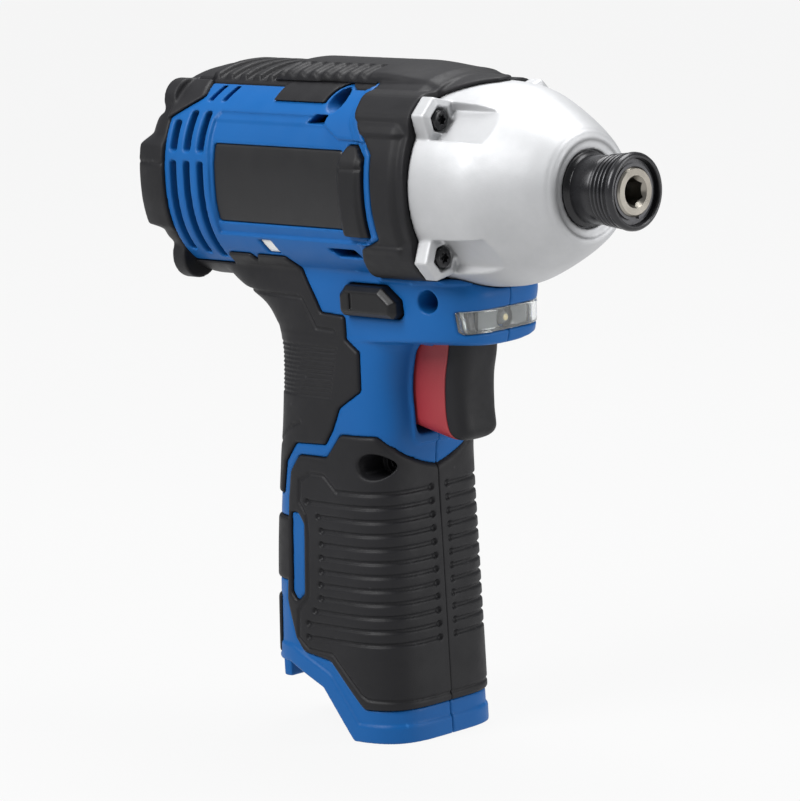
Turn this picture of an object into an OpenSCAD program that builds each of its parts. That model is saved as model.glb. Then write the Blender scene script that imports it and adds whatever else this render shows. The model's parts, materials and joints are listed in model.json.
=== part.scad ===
/* [Output shaft] */
// Width across the flats of the bit socket
hex_af = 6.35; // [6.2:0.05:6.6]
// Depth of the bit socket
socket_depth = 24; // [18:1:27]
// Step from the anvil's shank up to its journal in the nose bushing
journal_step = 0.6; // [0.5:0.1:1.2]
// Length of the nose bushing
bushing_len = 16; // [12:1:20]
// Wall of the nose bushing
bushing_wall = 2; // [1.5:0.1:2.6]
// Length of the two ears that the hammer strikes
ear_len = 6; // [5:0.5:7]
// Distance that the ears stay inside the hammer's radius
ear_inset = 2.4; // [1.5:0.1:3.5]
// Thickness of an ear
ear_t = 9; // [7:0.5:11]

/* [Pull sleeve] */
// Length of the pull sleeve
sleeve_len = 15.5; // [15:0.5:18]
// Wall of the pull sleeve round its spring
sleeve_wall = 1.5; // [1.2:0.1:2.2]
// Travel of the pull sleeve
sleeve_travel = 3.5; // [2.5:0.5:3.5]
// Radius of the detent balls
detent_r = 1.75; // [1.6:0.05:1.9]
// Wire radius of the sleeve spring
sleeve_wire = 0.3; // [0.25:0.05:0.35]

/* [Hammer] */
// Radius of the hammer
hammer_r = 19.4; // [18.5:0.1:20]
// Length of the hammer's body
hammer_len = 19; // [17:1:22]
// Distance that the hammer moves back
hammer_travel = 7.2; // [6.8:0.1:8]
// Radius of the spindle in the hammer's bore
spindle_r = 8; // [7.5:0.1:8.5]
// Radius of a cam ball
cam_ball_r = 2.38; // [2.2:0.02:2.5]
// Angle that the hammer turns back on the cam
cam_turn = 36; // [30:1:40]
// Wire radius of the hammer spring
hammer_wire = 1.1; // [0.9:0.1:1.2]

/* [Gearing] */
// Gear module
gear_m = 0.8; // [0.76:0.01:0.82]
// Teeth on the motor pinion
sun_z = 12; // [12]
// Teeth on a planet
planet_z = 18; // [18]
// Teeth in the ring gear
ring_z = 48; // [48]
// Width of the gears
gear_w = 7; // [6:0.5:9]
// Wall of the ring gear outside its teeth
ring_wall = 2.1; // [1.8:0.1:2.6]
// Radius of a planet pin
pin_r = 2; // [1.8:0.1:2.4]
// Thickness of the carrier's discs
carrier_t = 2.4; // [2:0.1:3]

/* [Motor] */
// Radius of the motor can
can_r = 18; // [17:0.5:19]
// Sheet thickness of the motor can
can_wall = 1.2; // [1:0.1:1.6]
// Radius of the rotor's core
core_r = 12.6; // [12:0.1:13]
// Length of the rotor's core
core_len = 30; // [26:1:32]
// Radius of the motor shaft
motor_shaft_r = 1.6; // [1.5:0.1:2]

/* [Barrel] */
// Thickness of the barrel's flanks outside the gear case
flank_wall = 3.45; // [3:0.05:5]
// Thickness of the barrel's roof outside the gear case
roof_wall = 2.95; // [2.6:0.05:5]
// Wall of the housing
wall = 2.6; // [2.2:0.1:3]
// Depth of the rear cover
cover_depth = 12.5; // [11:0.5:15]
// Width of the ribbed strip on the top
top_strip_w = 30; // [26:1:34]

/* [Gear case] */
// Thickness of the gear case round the hammer
case_wall = 6.8; // [6:0.1:8]
// Thickness of the gear case's front face round the bushing
nose_wall = 4.9; // [4:0.1:6]
// Angle of the upper lugs above the level of the axis
lug_up = 45; // [40:1:50]
// Angle of the lower lugs below the level of the axis
lug_down = 39.5; // [36:0.5:45]
// Half width of a six-sided lug across its flats
lug_half = 5.2; // [5:0.1:5.6]
// Radius of a screw head
head_r = 3.3; // [2.8:0.1:3.6]

/* [Handle] */
// Height of the socket axis above the foot
foot_drop = 149.5; // [146:0.5:156]
// Length of the handle from front to back at its waist
handle_len = 45.5; // [44:0.5:50]
// Width of the handle at its waist
handle_w = 40; // [39:0.5:44]
// Length that the foot gains at the back
foot_flare = 5; // [3:0.5:7]
// Width of the neck above the trigger
neck_w = 37; // [36:0.5:39]
// Depth of the soft pads in the housing
pad_depth = 1.4; // [1.2:0.1:1.6]
// Height that the soft pads stand proud
pad_proud = 0.7; // [0.4:0.1:1]
// Grooves across a grip pad
groove_count = 12; // [8:1:14]
// Distance from one groove to the next
groove_pitch = 3.7; // [3:0.1:4]
// Depth of the grip pad's grooves
groove_depth = 0.8; // [0.5:0.1:1]

/* [Trigger] */
// Width of the trigger
trigger_w = 15.4; // [14:0.2:16]
// Height of the trigger
trigger_h = 27; // [25:0.5:27]
// Travel of the trigger
trigger_travel = 6; // [5:0.5:7]
// Travel of the direction button to each side
selector_travel = 3; // [2:0.5:3]
// Height of the clear lens
lens_h = 6; // [5:0.5:6.5]

/* [Fits] */
// Running clearance of round fits, on the radius
run_gap = 0.05; // [0.03:0.01:0.08]
// Clearance between pieces that only lie side by side
side_gap = 0.3; // [0.2:0.05:0.4]
// Clearance around a soft pad in its recess
pad_gap = 0.05; // [0.03:0.01:0.1]
// Backlash of the gears on the pitch circle
backlash = 0.14; // [0.1:0.01:0.2]

/* [Hidden] */
$fn = 64;

// Radii, counted out from the bit socket
ball_bite = 0.43;
ball_slack = 0.155;
ball_home = hex_af / 2 - ball_bite + detent_r;
shank_r = ball_home + detent_r + ball_slack;
journal_r = shank_r + journal_step;
bushing_r = journal_r + run_gap + bushing_wall;
case_nose_r = bushing_r + nose_wall;
sleeve_pocket = shank_r + 2.1;
sleeve_r = sleeve_pocket + sleeve_wall;
ear_r = hammer_r - ear_inset;
cavity_r = hammer_r + 0.8;
case_r = cavity_r + case_wall;
ring_r = gear_m * ring_z / 2 + 1.25 * gear_m + ring_wall;
skirt_wall = 2.4;
skirt_r = max(ring_r + run_gap, cavity_r) + skirt_wall;
screw_r = 1.4;
lug_reach = max(skirt_r, cavity_r + case_wall * 0.67) + screw_r + 0.15;
barrel_core = max(skirt_r, case_r - 2.25) + side_gap;
barrel_w = 2 * (barrel_core + flank_wall);
barrel_h = 2 * (barrel_core + roof_wall);

// Places along the axis, counted back from the mouth of the bit socket
sleeve_lip = 0.5;
x_sleeve_back = sleeve_lip - sleeve_len;
x_nose = x_sleeve_back - side_gap;
x_ears = x_nose - bushing_len - side_gap;
x_hammer = x_ears - ear_len - side_gap;
x_hammer_back = x_hammer - hammer_len;
x_carrier = x_hammer_back - hammer_travel - side_gap;
planet_room = gear_w + 2 * side_gap;
x_planets = x_carrier - carrier_t - side_gap;
x_carrier_back = x_carrier - 2 * carrier_t - planet_room;
bearing_w = 5;
x_plate = x_carrier_back - side_gap;
plate_t = bearing_w + 1;
x_can = x_plate - plate_t;
fan_room = 12;
commutator_len = 8;
can_len = fan_room + core_len + commutator_len + 2;
x_can_back = x_can - can_len;
bell_len = 7;
x_bell_back = x_can_back - bell_len;
x_barrel_back = x_bell_back - 2.5;
x_cover_back = x_barrel_back - cover_depth;

// The visible part of the gear case and the housing's front
case_front_len = 39;
x_case_back = x_nose - case_front_len;

// The lugs, and the posts of the housing behind them
lug_x0 = x_case_back - 6;
lug_x1 = x_case_back + 3.5;
lug_screw_len = 17;
lug_face = lug_x1 + 2.2;
post_r = 3.4;
post_len = 20;
// Open channel in front of each lug: depth below the case, half width of its floor and slope of its walls
channel_depth = 4.6;
channel_half = 3;
channel_slope = 0.75;

// The handle and the head that carries the lamp
x_grip = x_can + 6.6;
x_grip_back = x_grip - handle_len;
x_head = x_grip + 31;
z_foot = -foot_drop;
z_head = -40;
z_waist = -75;
z_neck_top = -18;
handle_n = 4;
barrel_n = 2.3;
barrel_sides = 24;
handle_sides = 20;

// Rows of height, back, front and half width down the handle
handle_rows = [
    [z_foot, x_grip_back - foot_flare, x_grip, handle_w / 2 + 0.7],
    [z_foot + 18, x_grip_back - foot_flare, x_grip, handle_w / 2 + 0.6],
    [z_foot + 50, x_grip_back - 1, x_grip, handle_w / 2 + 0.3],
    [z_waist, x_grip_back + 2, x_grip, handle_w / 2],
    [z_head - 12, x_grip_back + 2.6, x_grip + 2, neck_w / 2 + 0.8],
    [z_head - 4, x_grip_back + 2, x_grip + 9, neck_w / 2 + 0.2],
    [z_head, x_grip_back + 0.8, x_head - 3.5, neck_w / 2],
    [z_head + 7, x_grip_back - 3.5, x_head, neck_w / 2 + 0.1],
    [z_head + 13, (x_grip_back + x_barrel_back) / 2 - 1.7, x_head, neck_w / 2 + 0.4],
    [z_neck_top, x_barrel_back - 1.4, x_head - 6, neck_w / 2 + 0.4]];
// Heights of the handle's sections, closer together under the head
handle_steps = concat([z_foot, z_foot + 18, z_foot + 50, z_waist],
    [for (d = [-23, -12, -7, -4, -2, 0, 3, 7, 11, 16, 20.5]) z_head + d]);

// Outlines seen from the side, as places along the axis and up
grip_outline = [
    [x_grip + 12, z_waist - 1], [x_grip - 0.4, z_waist + 4], [x_grip - 4, z_waist + 8.4],
    [x_grip - 15.5, z_waist + 8.4], [x_grip - 21, z_waist + 1.8], [x_grip - 31.5, z_waist + 1.8],
    [x_grip_back + 10, z_waist - 3], [x_grip_back + 8.6, z_waist - 11], [x_grip_back + 6, z_foot + 36],
    [x_grip_back + 9, z_foot + 26], [x_grip_back + 12, z_foot + 22.5], [x_grip - 23.5, z_foot + 21],
    [x_grip - 12, z_foot + 9], [x_grip + 12, z_foot + 9]];
slot_outline = [
    [x_grip_back + 9.5, z_waist - 14], [x_grip_back + 12.5, z_waist - 14],
    [x_grip_back + 14.6, z_waist - 17], [x_grip_back + 13.4, z_waist - 36],
    [x_grip_back + 10.6, z_waist - 38.4], [x_grip_back + 8.4, z_waist - 36]];
palm_outline = [
    [x_grip_back - 30, -22.8], [x_grip_back - 6.5, -22.8], [x_grip_back - 6, -19.3], [x_grip_back + 3, -19.3],
    [x_grip_back + 4, -21.4], [x_grip_back + 5.4, -19.3], [x_grip - 29.5, -19.4], [x_grip - 27, -22.8],
    [x_grip - 21, -34.4], [x_grip - 12.4, -34.8], [x_grip - 12.4, -41], [x_grip - 7.8, -44.2],
    [x_grip - 8, -54.6], [x_grip - 15.5, -59.4], [x_grip - 18.5, -65.6], [x_grip - 21.2, -69.6],
    [x_grip - 32.6, -70], [x_grip_back + 8, z_waist - 0.5], [x_grip_back + 6, z_waist - 9.5],
    [x_grip_back - 30, z_waist - 9.5]];
// Two soft blocks on the handle's back, between the palm pad and the foot
back_blocks = [for (z = [[z_waist - 15.6, z_waist - 33], [z_waist - 37.6, z_foot + 20.6]])
    [[x_grip_back - 30, z[0]], [x_grip_back + 2.6, z[0]], [x_grip_back + 1.6, z[1]],
        [x_grip_back - 30, z[1]]]];
foot_cut = [
    [x_grip_back - 20, z_foot + 20], [x_grip_back + 6.5, z_foot + 20], [x_grip - 25.6, z_foot + 14.6],
    [x_grip - 16.2, z_foot], [x_grip - 16.2, z_foot - 10], [x_grip_back - 20, z_foot - 10]];
boot_len = 22;
boot_outline = [
    [x_case_back, 40], [x_case_back - boot_len, 40], [x_case_back - 21, 23.5], [x_case_back - 20, 19],
    [x_case_back - 11.7, 10], [x_case_back - 11.5, -3], [x_case_back - 11, -12], [x_case_back - 18, -15],
    [x_case_back - 20, -23.4], [x_case_back, -23.4]];

// Side plate, the block in front of it, and the lowered flank round both
panel_len = 48.5;
panel_half = 10.4;
x_panel = x_can + 5.1;
bumper_len = 9;
bumper_half = 11.9;
panel_drop = 1;
panel_depth = 2.2;
bumper_proud = 1.5;
flank_drop = 0.7;
panel_outline = [
    [x_panel - panel_len, -panel_half], [x_panel, -panel_half], [x_panel, panel_half],
    [x_panel - panel_len, panel_half]];
bumper_outline = [
    [x_panel, -bumper_half], [x_panel, bumper_half - 4.5], [x_panel + 2.3, bumper_half],
    [x_panel + bumper_len - 3.4, bumper_half], [x_panel + bumper_len, bumper_half - 3.6],
    [x_panel + bumper_len, -bumper_half]];
flank_outline = [
    [x_panel - panel_len - 1.5, panel_half + 5.8], [x_panel - 8, panel_half + 5.8],
    [x_panel - 2, bumper_half + 1.3], [x_panel + bumper_len + 0.6, bumper_half + 1.1],
    [x_panel + bumper_len + 0.6, -panel_half - 3.2], [x_panel - panel_len - 0.5, -panel_half - 3.2]];
// Upper corners of the rear cover, which reach forward over the barrel
tab_outline = [
    [x_barrel_back - 1, 15.4], [x_barrel_back + 3.7, 18.6], [x_barrel_back + 9, 21.7],
    [x_barrel_back + 7.1, 25.2], [x_barrel_back + 7.1, 40], [x_barrel_back - 1, 40]];
tab_depth = 0.95;
// Rear end of the tongue that the front boot lays along the top
tongue_x0 = x_panel - 37;

// Point at angle t on an oval of half sizes p and q, squarer as n grows
function oval(t, p, q, n) =
    [p * sign(cos(t)) * pow(abs(cos(t)), 2 / n), q * sign(sin(t)) * pow(abs(sin(t)), 2 / n)];

// Smooth curve through column c of rows that start with their place
function span(rows, s, i = 0) = i >= len(rows) - 2 || s <= rows[i + 1][0] ? i : span(rows, s, i + 1);
function grade(rows, i, c) =
    let (a = rows[max(i - 1, 0)], b = rows[min(i + 1, len(rows) - 1)])
    (b[c] - a[c]) / (b[0] - a[0]);
function curve(rows, s, c) =
    let (i = span(rows, s), h = rows[i + 1][0] - rows[i][0], t = (s - rows[i][0]) / h)
    (2 * t ^ 3 - 3 * t ^ 2 + 1) * rows[i][c] + (t ^ 3 - 2 * t ^ 2 + t) * h * grade(rows, i, c)
    + (3 * t ^ 2 - 2 * t ^ 3) * rows[i + 1][c] + (t ^ 3 - t ^ 2) * h * grade(rows, i + 1, c);

// Involute gear outline, with the tooth thinned by b on the pitch circle
function involute(r, rb) = r <= rb ? 0 : sqrt((r / rb) ^ 2 - 1) * 180 / PI - acos(rb / r);
function flank(z, m, r, b) =
    let (rp = m * z / 2, rb = rp * cos(20))
    90 / z - b / rp * 90 / PI + involute(rp, rb) - involute(max(r, rb), rb);
function gear_points(z, m, add, ded, b) =
    let (rp = m * z / 2, r0 = rp - ded, r1 = rp + add, n = 5)
    [for (i = [0 : z - 1], s = [-1, 1], k = [0 : n])
        let (r = s < 0 ? r0 + (r1 - r0) * k / n : r1 - (r1 - r0) * k / n,
            t = 360 * i / z + s * flank(z, m, r, b))
        [r * cos(t), r * sin(t)]];

// Closed skin through rings of points that run the same way round
module loft(rings) {
    n = len(rings[0]);
    last = (len(rings) - 1) * n;
    sides = [for (k = [0 : len(rings) - 2], i = [0 : n - 1])
        let (a = k * n + i, b = k * n + (i + 1) % n)
        each [[a, a + n, b + n], [a, b + n, b]]];
    caps = [[for (i = [0 : n - 1]) i], [for (i = [n - 1 : -1 : 0]) last + i]];
    polyhedron([for (r = rings) each r], concat(sides, caps), convexity = 10);
}

// A moulding with blended faces, kept as one facetted skin
module moulded() {
    $fn = 24;
    resize([0, 0, 0])
        union() children();
}

// Places a shape that is drawn along +Z so that it runs forward from x
module on_axis(x) {
    translate([x, 0, 0])
        rotate([0, 90, 0])
            children();
}

module rod(x0, x1, r) {
    on_axis(min(x0, x1))
        cylinder(h = abs(x1 - x0), r = r);
}

module tube(x0, x1, r_out, r_in) {
    difference() {
        rod(x0, x1, r_out);
        rod(x0 - 1, x1 + 1, r_in);
    }
}

// Solid of revolution about the axis, from points of place and radius
module turned(points) {
    rotate([0, 90, 0])
        rotate_extrude()
            polygon([for (p = points) [p[1], p[0]]]);
}

// Side outline pushed across the tool: side -1 is the right, 1 the left, 0 both
module across(outline, side, grow = 0) {
    reach = 60;
    y0 = side > 0 ? 0 : -reach;
    y1 = side < 0 ? 0 : reach;
    translate([0, y1, 0])
        rotate([90, 0, 0])
            linear_extrude(y1 - y0)
                if (grow == 0)
                    polygon(outline);
                else
                    offset(delta = grow)
                        polygon(outline);
}

// Repeats a shape at the four lugs
module at_lugs() {
    for (a = [lug_up, 180 - lug_up, -lug_down, 180 + lug_down])
        rotate([a, 0, 0])
            translate([0, lug_reach, 0])
                children();
}

// Six-sided prism along the axis, with a flat turned outward at each lug
module lug_prism(x0, x1, half) {
    on_axis(x0)
        cylinder(h = x1 - x0, r = half / cos(30), $fn = 6);
}

// Repeats a shape at the four screws of the rear cover
module at_cover_screws() {
    for (y = [-cover_screw_y, cover_screw_y], z = [-cover_screw_z, cover_screw_z])
        translate([0, y, z])
            children();
}

module box(low, high) {
    translate(low)
        cube(high - low);
}

// Barrel skin through rows of place and growth
module sleeve_skin(rows) {
    loft([for (r = rows) [for (i = [0 : barrel_sides - 1])
        let (p = oval(360 * i / barrel_sides, barrel_w / 2 + r[1], barrel_h / 2 + r[1], barrel_n))
        [r[0], p.x, p.y]]]);
}

module barrel(g, x0, x1) {
    sleeve_skin([[x0, g], [x1, g]]);
}

module handle(g) {
    loft([for (z = handle_steps)
        let (back = curve(handle_rows, z, 1) - g, front = curve(handle_rows, z, 2) + g,
            half = curve(handle_rows, z, 3) + g)
        [for (i = [0 : handle_sides - 1])
            let (p = oval(360 * i / handle_sides, (front - back) / 2, half, handle_n))
            [(front + back) / 2 + p.x, p.y, z]]]);
}

// The housing's outer skin, grown by g
module skin(g) {
    barrel(g, x_barrel_back, x_case_back);
    handle(g);
}

// A soft pad that fills an outline on the skin
module pad(outline, side, proud, depth, grow = 0) {
    intersection() {
        difference() {
            skin(proud);
            skin(-depth);
        }
        across(outline, side, grow);
    }
}

module grip_zones(side, proud, depth, grow = 0) {
    for (outline = concat([grip_outline], back_blocks))
        pad(outline, side, proud, depth, grow);
}

// Both upper corners of the rear cover, or their beds in the housing
module cover_tabs(proud, depth, grow = 0) {
    inner = top_strip_w / 2 + 2 * pad_gap - grow;
    for (s = [-1, 1])
        intersection() {
            difference() {
                barrel(proud, x_barrel_back - 1, x_barrel_back + 12);
                barrel(-depth, x_barrel_back - 2, x_barrel_back + 13);
            }
            across(tab_outline, s, grow);
            box([-300, s > 0 ? inner : -60, 0], [0, s > 0 ? 60 : -inner, 60]);
        }
}

// Housing

bay_top = z_waist - 17;
bay_wall = wall + 0.4;
switch_x0 = x_grip_back + 9.5;
switch_x1 = x_grip - 15;
switch_z0 = z_head - 25;
switch_z1 = z_head - 3;
switch_half = 9;
selector_x0 = x_grip - 11.6;
selector_len = 20.6;
selector_z = -30;
selector_h = 8.2;
trigger_front = x_grip + 18;
trigger_back = x_grip - 4;
trigger_z1 = z_head - 1.4;
trigger_z0 = trigger_z1 - trigger_h;
screw_hole_r = 3;
// Clamshell screws, as places along the axis and up
shell_screws = [[x_grip + 17.5, -29.3], [x_grip - 5.4, trigger_z0 - screw_hole_r - 3.2],
    [x_can - 4.8, can_r + side_gap + screw_hole_r + 0.9]];
boss_half = 4.4;
cover_screw_y = 17;
cover_screw_z = 20.4;
well_y = 8;
vent_w = 2.6;
vent_pitch = 5.2;
vent_x = x_barrel_back + 3.2;
vent_rows = [[7.6, 18], [-19.5, 5.8]];
bore_sides = 16;
lens_z = -35;
board_half = 6.7;
hook_half = 10;
band_h = 5;
band_proud = 0.5;

// Space inside both halves
module hollow() {
    rod(x_barrel_back - 1, x_case_back, skirt_r + side_gap);
    bay_back = x_grip_back - foot_flare + bay_wall;
    corner = 5;
    hull()
        for (x = [x_grip_back + bay_wall + corner, x_grip - bay_wall - corner], s = [-1, 1])
            translate([x, s * (handle_w / 2 - bay_wall - corner), z_foot - 1])
                cylinder(h = bay_top - z_foot + 1, r = corner, $fn = bore_sides);
    hull()
        for (x = [bay_back + corner, x_grip - bay_wall - corner], s = [-1, 1])
            translate([x, s * (handle_w / 2 - bay_wall - corner), z_foot - 1])
                cylinder(h = 22, r = corner, $fn = bore_sides);
    box([switch_x0 - side_gap, -switch_half - side_gap, switch_z0 - side_gap],
        [switch_x1 + side_gap, switch_half + side_gap, switch_z1 + side_gap]);
    box([switch_x0 + 4, -6, -skirt_r], [switch_x1 - 4, 6, switch_z1]);
    box([switch_x0 + 6, -5, bay_top - 1], [switch_x1 - 6, 5, switch_z0]);
    box([switch_x1 - 1, -trigger_w / 2 - side_gap, trigger_z0 - side_gap],
        [x_head, trigger_w / 2 + side_gap, trigger_z1 + side_gap]);
    box([x_head - 12, -board_half - side_gap, lens_z - 2.4],
        [x_head - 2.2, board_half + side_gap, lens_z + 3]);
}

// Plates that cradle the motor in the barrel
module cradle() {
    for (x = [x_can - 12, x_can_back + 10])
        intersection() {
            tube(x - 1, x + 1, barrel_w, can_r + side_gap);
            rod(x - 1, x + 1, skirt_r + 1);
        }
}

// Slots of the barrel's flank
module vents(side) {
    for (k = [0 : 2])
        intersection() {
            tube(vent_x + k * vent_pitch, vent_x + k * vent_pitch + vent_w, barrel_w, can_r + 3);
            for (z = vent_rows)
                box([-500, side > 0 ? 0 : -60, z[0]], [0, side > 0 ? 60 : 0, z[1]]);
        }
    for (k = [0, 1], x = vent_x + 7.5 + k * vent_pitch)
        across([[x, 20.6], [x + 1.7, 20.6], [x + 3.2, 24.2], [x + 1.6, 24.2]], side);
    for (outline = [
        [[x_panel - 15.4, 16.5], [x_panel - 12.8, 18.9], [x_panel - 8.2, 18.9], [x_panel - 8.8, 16.5]],
        [[x_panel - 9.3, -15.8], [x_panel + 0.8, -15.8], [x_panel + 2.4, -18], [x_panel - 6.5, -18]],
        [[x_panel - 34.4, -15], [x_panel - 30.8, -15], [x_panel - 29.4, -18.4], [x_panel - 33.4, -18.4]]])
        across(outline, side);
}

// Piece of the given outline that lies in the barrel's flank
module flank_plate(outline, proud, depth, side, grow = 0) {
    intersection() {
        difference() {
            barrel(proud, x_barrel_back, x_case_back);
            barrel(-depth, x_barrel_back - 1, x_case_back + 1);
        }
        across(outline, side, grow);
    }
}

// Strip along the top with a flap down each side
module top_strip(proud, depth, grow = 0) {
    x0 = x_barrel_back + pad_gap - grow;
    x1 = x_case_back - boot_len + grow;
    half = top_strip_w / 2 + grow;
    flap_z = 21.6 - grow;
    intersection() {
        difference() {
            barrel(proud, x0, x1);
            barrel(-depth, x0 - 1, x1 + 1);
        }
        union() {
            box([x0, -half, 0], [x1, half, 50]);
            box([x_panel - 31 - grow, -60, flap_z], [x_panel - 10.5 + grow, 60, 50]);
        }
    }
}

// Ribs across the strip
module strip_ribs() {
    half = top_strip_w / 2 - 1.6;
    width = 3.5;
    pitch = 5.35;
    intersection() {
        difference() {
            barrel(pad_proud + 0.7, x_barrel_back + 4, tongue_x0 - side_gap);
            barrel(0, x_barrel_back, x_panel);
        }
        for (k = [0 : 4], x = x_barrel_back + 5.6 + pitch * k)
            box([x, -half, 0], [x + width, half, 50]);
    }
}

// Distance behind the nose and radius of the gear case's curve
case_rows = [[1, case_nose_r + 1.2], [6.7, case_r - 8.2], [15.7, case_r - 3.6], [21.7, case_r - 1.1],
    [28.5, case_r]];

// Outer form of the gear case behind and in front of its lugs
module case_form(g) {
    nose = x_nose + g;
    back = x_case_back - g;
    r = case_r + g;
    turned(concat([[nose, 0], [nose, case_nose_r + g]],
        [for (d = [case_rows[0][0] : 2.5 : case_rows[4][0]]) [x_nose - d, curve(case_rows, d, 1) + g]],
        [[back, r], [back, 0]]));
}

// Raised band along the lower edge of the handle
module foot_band() {
    intersection() {
        handle(band_proud);
        union() {
            across(foot_cut, 0, band_h);
            box([-300, -60, z_foot], [100, 60, z_foot + band_h]);
        }
    }
}

module housing(side) {
    color("royalblue")
        moulded()
            difference() {
                intersection() {
                    union() {
                        difference() {
                            union() {
                                skin(0);
                                foot_band();
                            }
                            across(boot_outline, 0, pad_gap);
                            across(foot_cut, 0);
                        }
                        at_lugs()
                            rod(lug_x0 - post_len, lug_x0, post_r, $fn = bore_sides);
                        box([x_grip_back - foot_flare - 1, -hook_half, z_foot + 13.5],
                            [x_grip_back - foot_flare + bay_wall - 1, hook_half, z_foot + 24]);
                    }
                    box([-300, side > 0 ? 0 : -60, -200], [100, side > 0 ? 60 : 0, 60]);
                }
                at_lugs()
                    rod(lug_x1 - lug_screw_len - 1, lug_x1, screw_r + run_gap, $fn = bore_sides);
                difference() {
                    hollow();
                    cradle();
                    box([shell_screws[2][0] - boss_half, -barrel_w / 2, can_r + side_gap],
                        [shell_screws[2][0] + boss_half, barrel_w / 2, barrel_h / 2]);
                }
                case_form(side_gap);
                at_lugs()
                    lug_prism(lug_x0 - 0.5, x_nose, lug_half + side_gap);
                difference() {
                    grip_zones(side, 5, pad_depth + pad_gap, pad_gap);
                    across(slot_outline, side, -pad_gap);
                }
                pad(palm_outline, side, 5, pad_depth + pad_gap, pad_gap);
                top_strip(5, pad_depth + pad_gap, pad_gap);
                flank_plate(flank_outline, 5, flank_drop, side);
                flank_plate(panel_outline, 5, panel_depth + pad_gap, side, pad_gap);
                flank_plate(bumper_outline, 5, 2 * pad_depth, side, pad_gap);
                cover_tabs(5, tab_depth + pad_gap, pad_gap);
                vents(side);
                selector_form(side_gap, 60);
                lens_form(5, 2.2 + side_gap, side_gap / 2);
                at_cover_screws()
                    rod(x_barrel_back - 1, x_barrel_back + 9, screw_r + run_gap, $fn = bore_sides);
                for (p = shell_screws) {
                    translate([p[0], 0, p[1]])
                        rotate([90, 0, 0])
                            cylinder(h = 2 * well_y, r = screw_r + run_gap, center = true, $fn = bore_sides);
                    if (side < 0)
                        well(p);
                }
            }
}

// Deep hole over a clamshell screw, on the right side only
module well(p, wide = 1, high = 1) {
    translate([p[0], -well_y, p[1]])
        scale([wide, 1, high])
            rotate([90, 0, 0])
                cylinder(h = 40, r = screw_hole_r, $fn = bore_sides);
}

module housing_right() {
    housing(-1);
}
module housing_left() {
    housing(1);
}

// Soft pads and trim

module grip_pad(side) {
    top = z_waist - 6.9;
    groove_w = 1.2;
    end = x_grip - 25;
    rest = 3;
    color("dimgray")
        moulded()
            difference() {
                grip_zones(side, pad_proud, pad_depth);
                across(slot_outline, side);
                for (i = [0 : groove_count - 1])
                    intersection() {
                        box([end, side > 0 ? rest : -60, top - i * groove_pitch - groove_w / 2],
                            [x_grip + 20, side > 0 ? 60 : -rest, top - i * groove_pitch + groove_w / 2]);
                        difference() {
                            handle(pad_proud + 1);
                            handle(pad_proud - groove_depth);
                        }
                    }
                if (side < 0)
                    well(shell_screws[1], 1.42, 1.12);
            }
}
module grip_pad_right() {
    grip_pad(-1);
}
module grip_pad_left() {
    grip_pad(1);
}

module palm_pad(side) {
    color("dimgray")
        moulded()
            pad(palm_outline, side, pad_proud, pad_depth);
}
module palm_pad_right() {
    palm_pad(-1);
}
module palm_pad_left() {
    palm_pad(1);
}

module top_pad() {
    color("dimgray")
        moulded()
            difference() {
                union() {
                    top_strip(pad_proud, pad_depth);
                    strip_ribs();
                }
                well(shell_screws[2]);
                at_cover_screws()
                    rod(x_barrel_back - 1, x_barrel_back + 9, screw_r + run_gap, $fn = bore_sides);
            }
}

module side_panel(side) {
    color("black")
        moulded()
            flank_plate(panel_outline, -panel_drop, panel_depth, side, -pad_gap);
}
module side_panel_right() {
    side_panel(-1);
}
module side_panel_left() {
    side_panel(1);
}

module bumper(side) {
    color("black")
        moulded()
            difference() {
                flank_plate(bumper_outline, bumper_proud, 2 * pad_depth - pad_gap, side);
                translate([x_panel - 1, side * (barrel_w / 2 + bumper_proud), bumper_half - 4.5])
                    rotate([side * 28, 0, 0])
                        translate([0, side > 0 ? 0 : -10, 0])
                            cube([bumper_len + 2, 10, 10]);
            }
}
module bumper_right() {
    bumper(-1);
}
module bumper_left() {
    bumper(1);
}

module rear_cover() {
    seat = 5;
    ear = 5.6;
    pocket = ear + 0.6;
    color("dimgray")
        moulded()
            difference() {
                union() {
                    sleeve_skin([for (p = [[1, -7], [0.9, -5], [0.6, -2.6], [0.3, -1], [0, 0]])
                        [x_barrel_back - cover_depth * p[0], p[1]]]);
                    at_cover_screws()
                        rod(x_barrel_back, x_barrel_back - seat, ear, $fn = bore_sides);
                    cover_tabs(pad_proud, tab_depth);
                }
                rod(x_barrel_back + 1, x_barrel_back - cover_depth + 4, can_r - 4);
                at_cover_screws() {
                    rod(x_barrel_back + 1, x_barrel_back - 20, screw_r + run_gap, $fn = bore_sides);
                    rod(x_barrel_back - seat, x_barrel_back - 20, pocket, $fn = bore_sides);
                }
            }
}

// A screw that points forward from its seat at x
module screw(x, len, head) {
    rod(x, x + len, screw_r);
    difference() {
        turned([[x - 2.2, 0], [x - 2.2, head - 1], [x - 1.2, head], [x, head], [x, 0]]);
        on_axis(x - 3)
            cylinder(h = 2, r = head * 0.52, $fn = 6);
    }
}

module rear_cover_screws() {
    color("black")
        at_cover_screws()
            screw(x_barrel_back - 5, 13, head_r);
}

// Short ribs on both shoulders of the tongue
module tongue_ribs(tongue) {
    width = 2.2;
    pitch = 4.4;
    intersection() {
        difference() {
            barrel(tongue + 0.5, tongue_x0, x_case_back - boot_len);
            barrel(tongue - 0.4, tongue_x0 - 1, x_case_back);
        }
        for (k = [0 : 7], y = [-14, 6.5], x = tongue_x0 + 4.6 + pitch * k)
            box([x, y, 0], [x + width, y + 7.5, 50]);
    }
}

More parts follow.
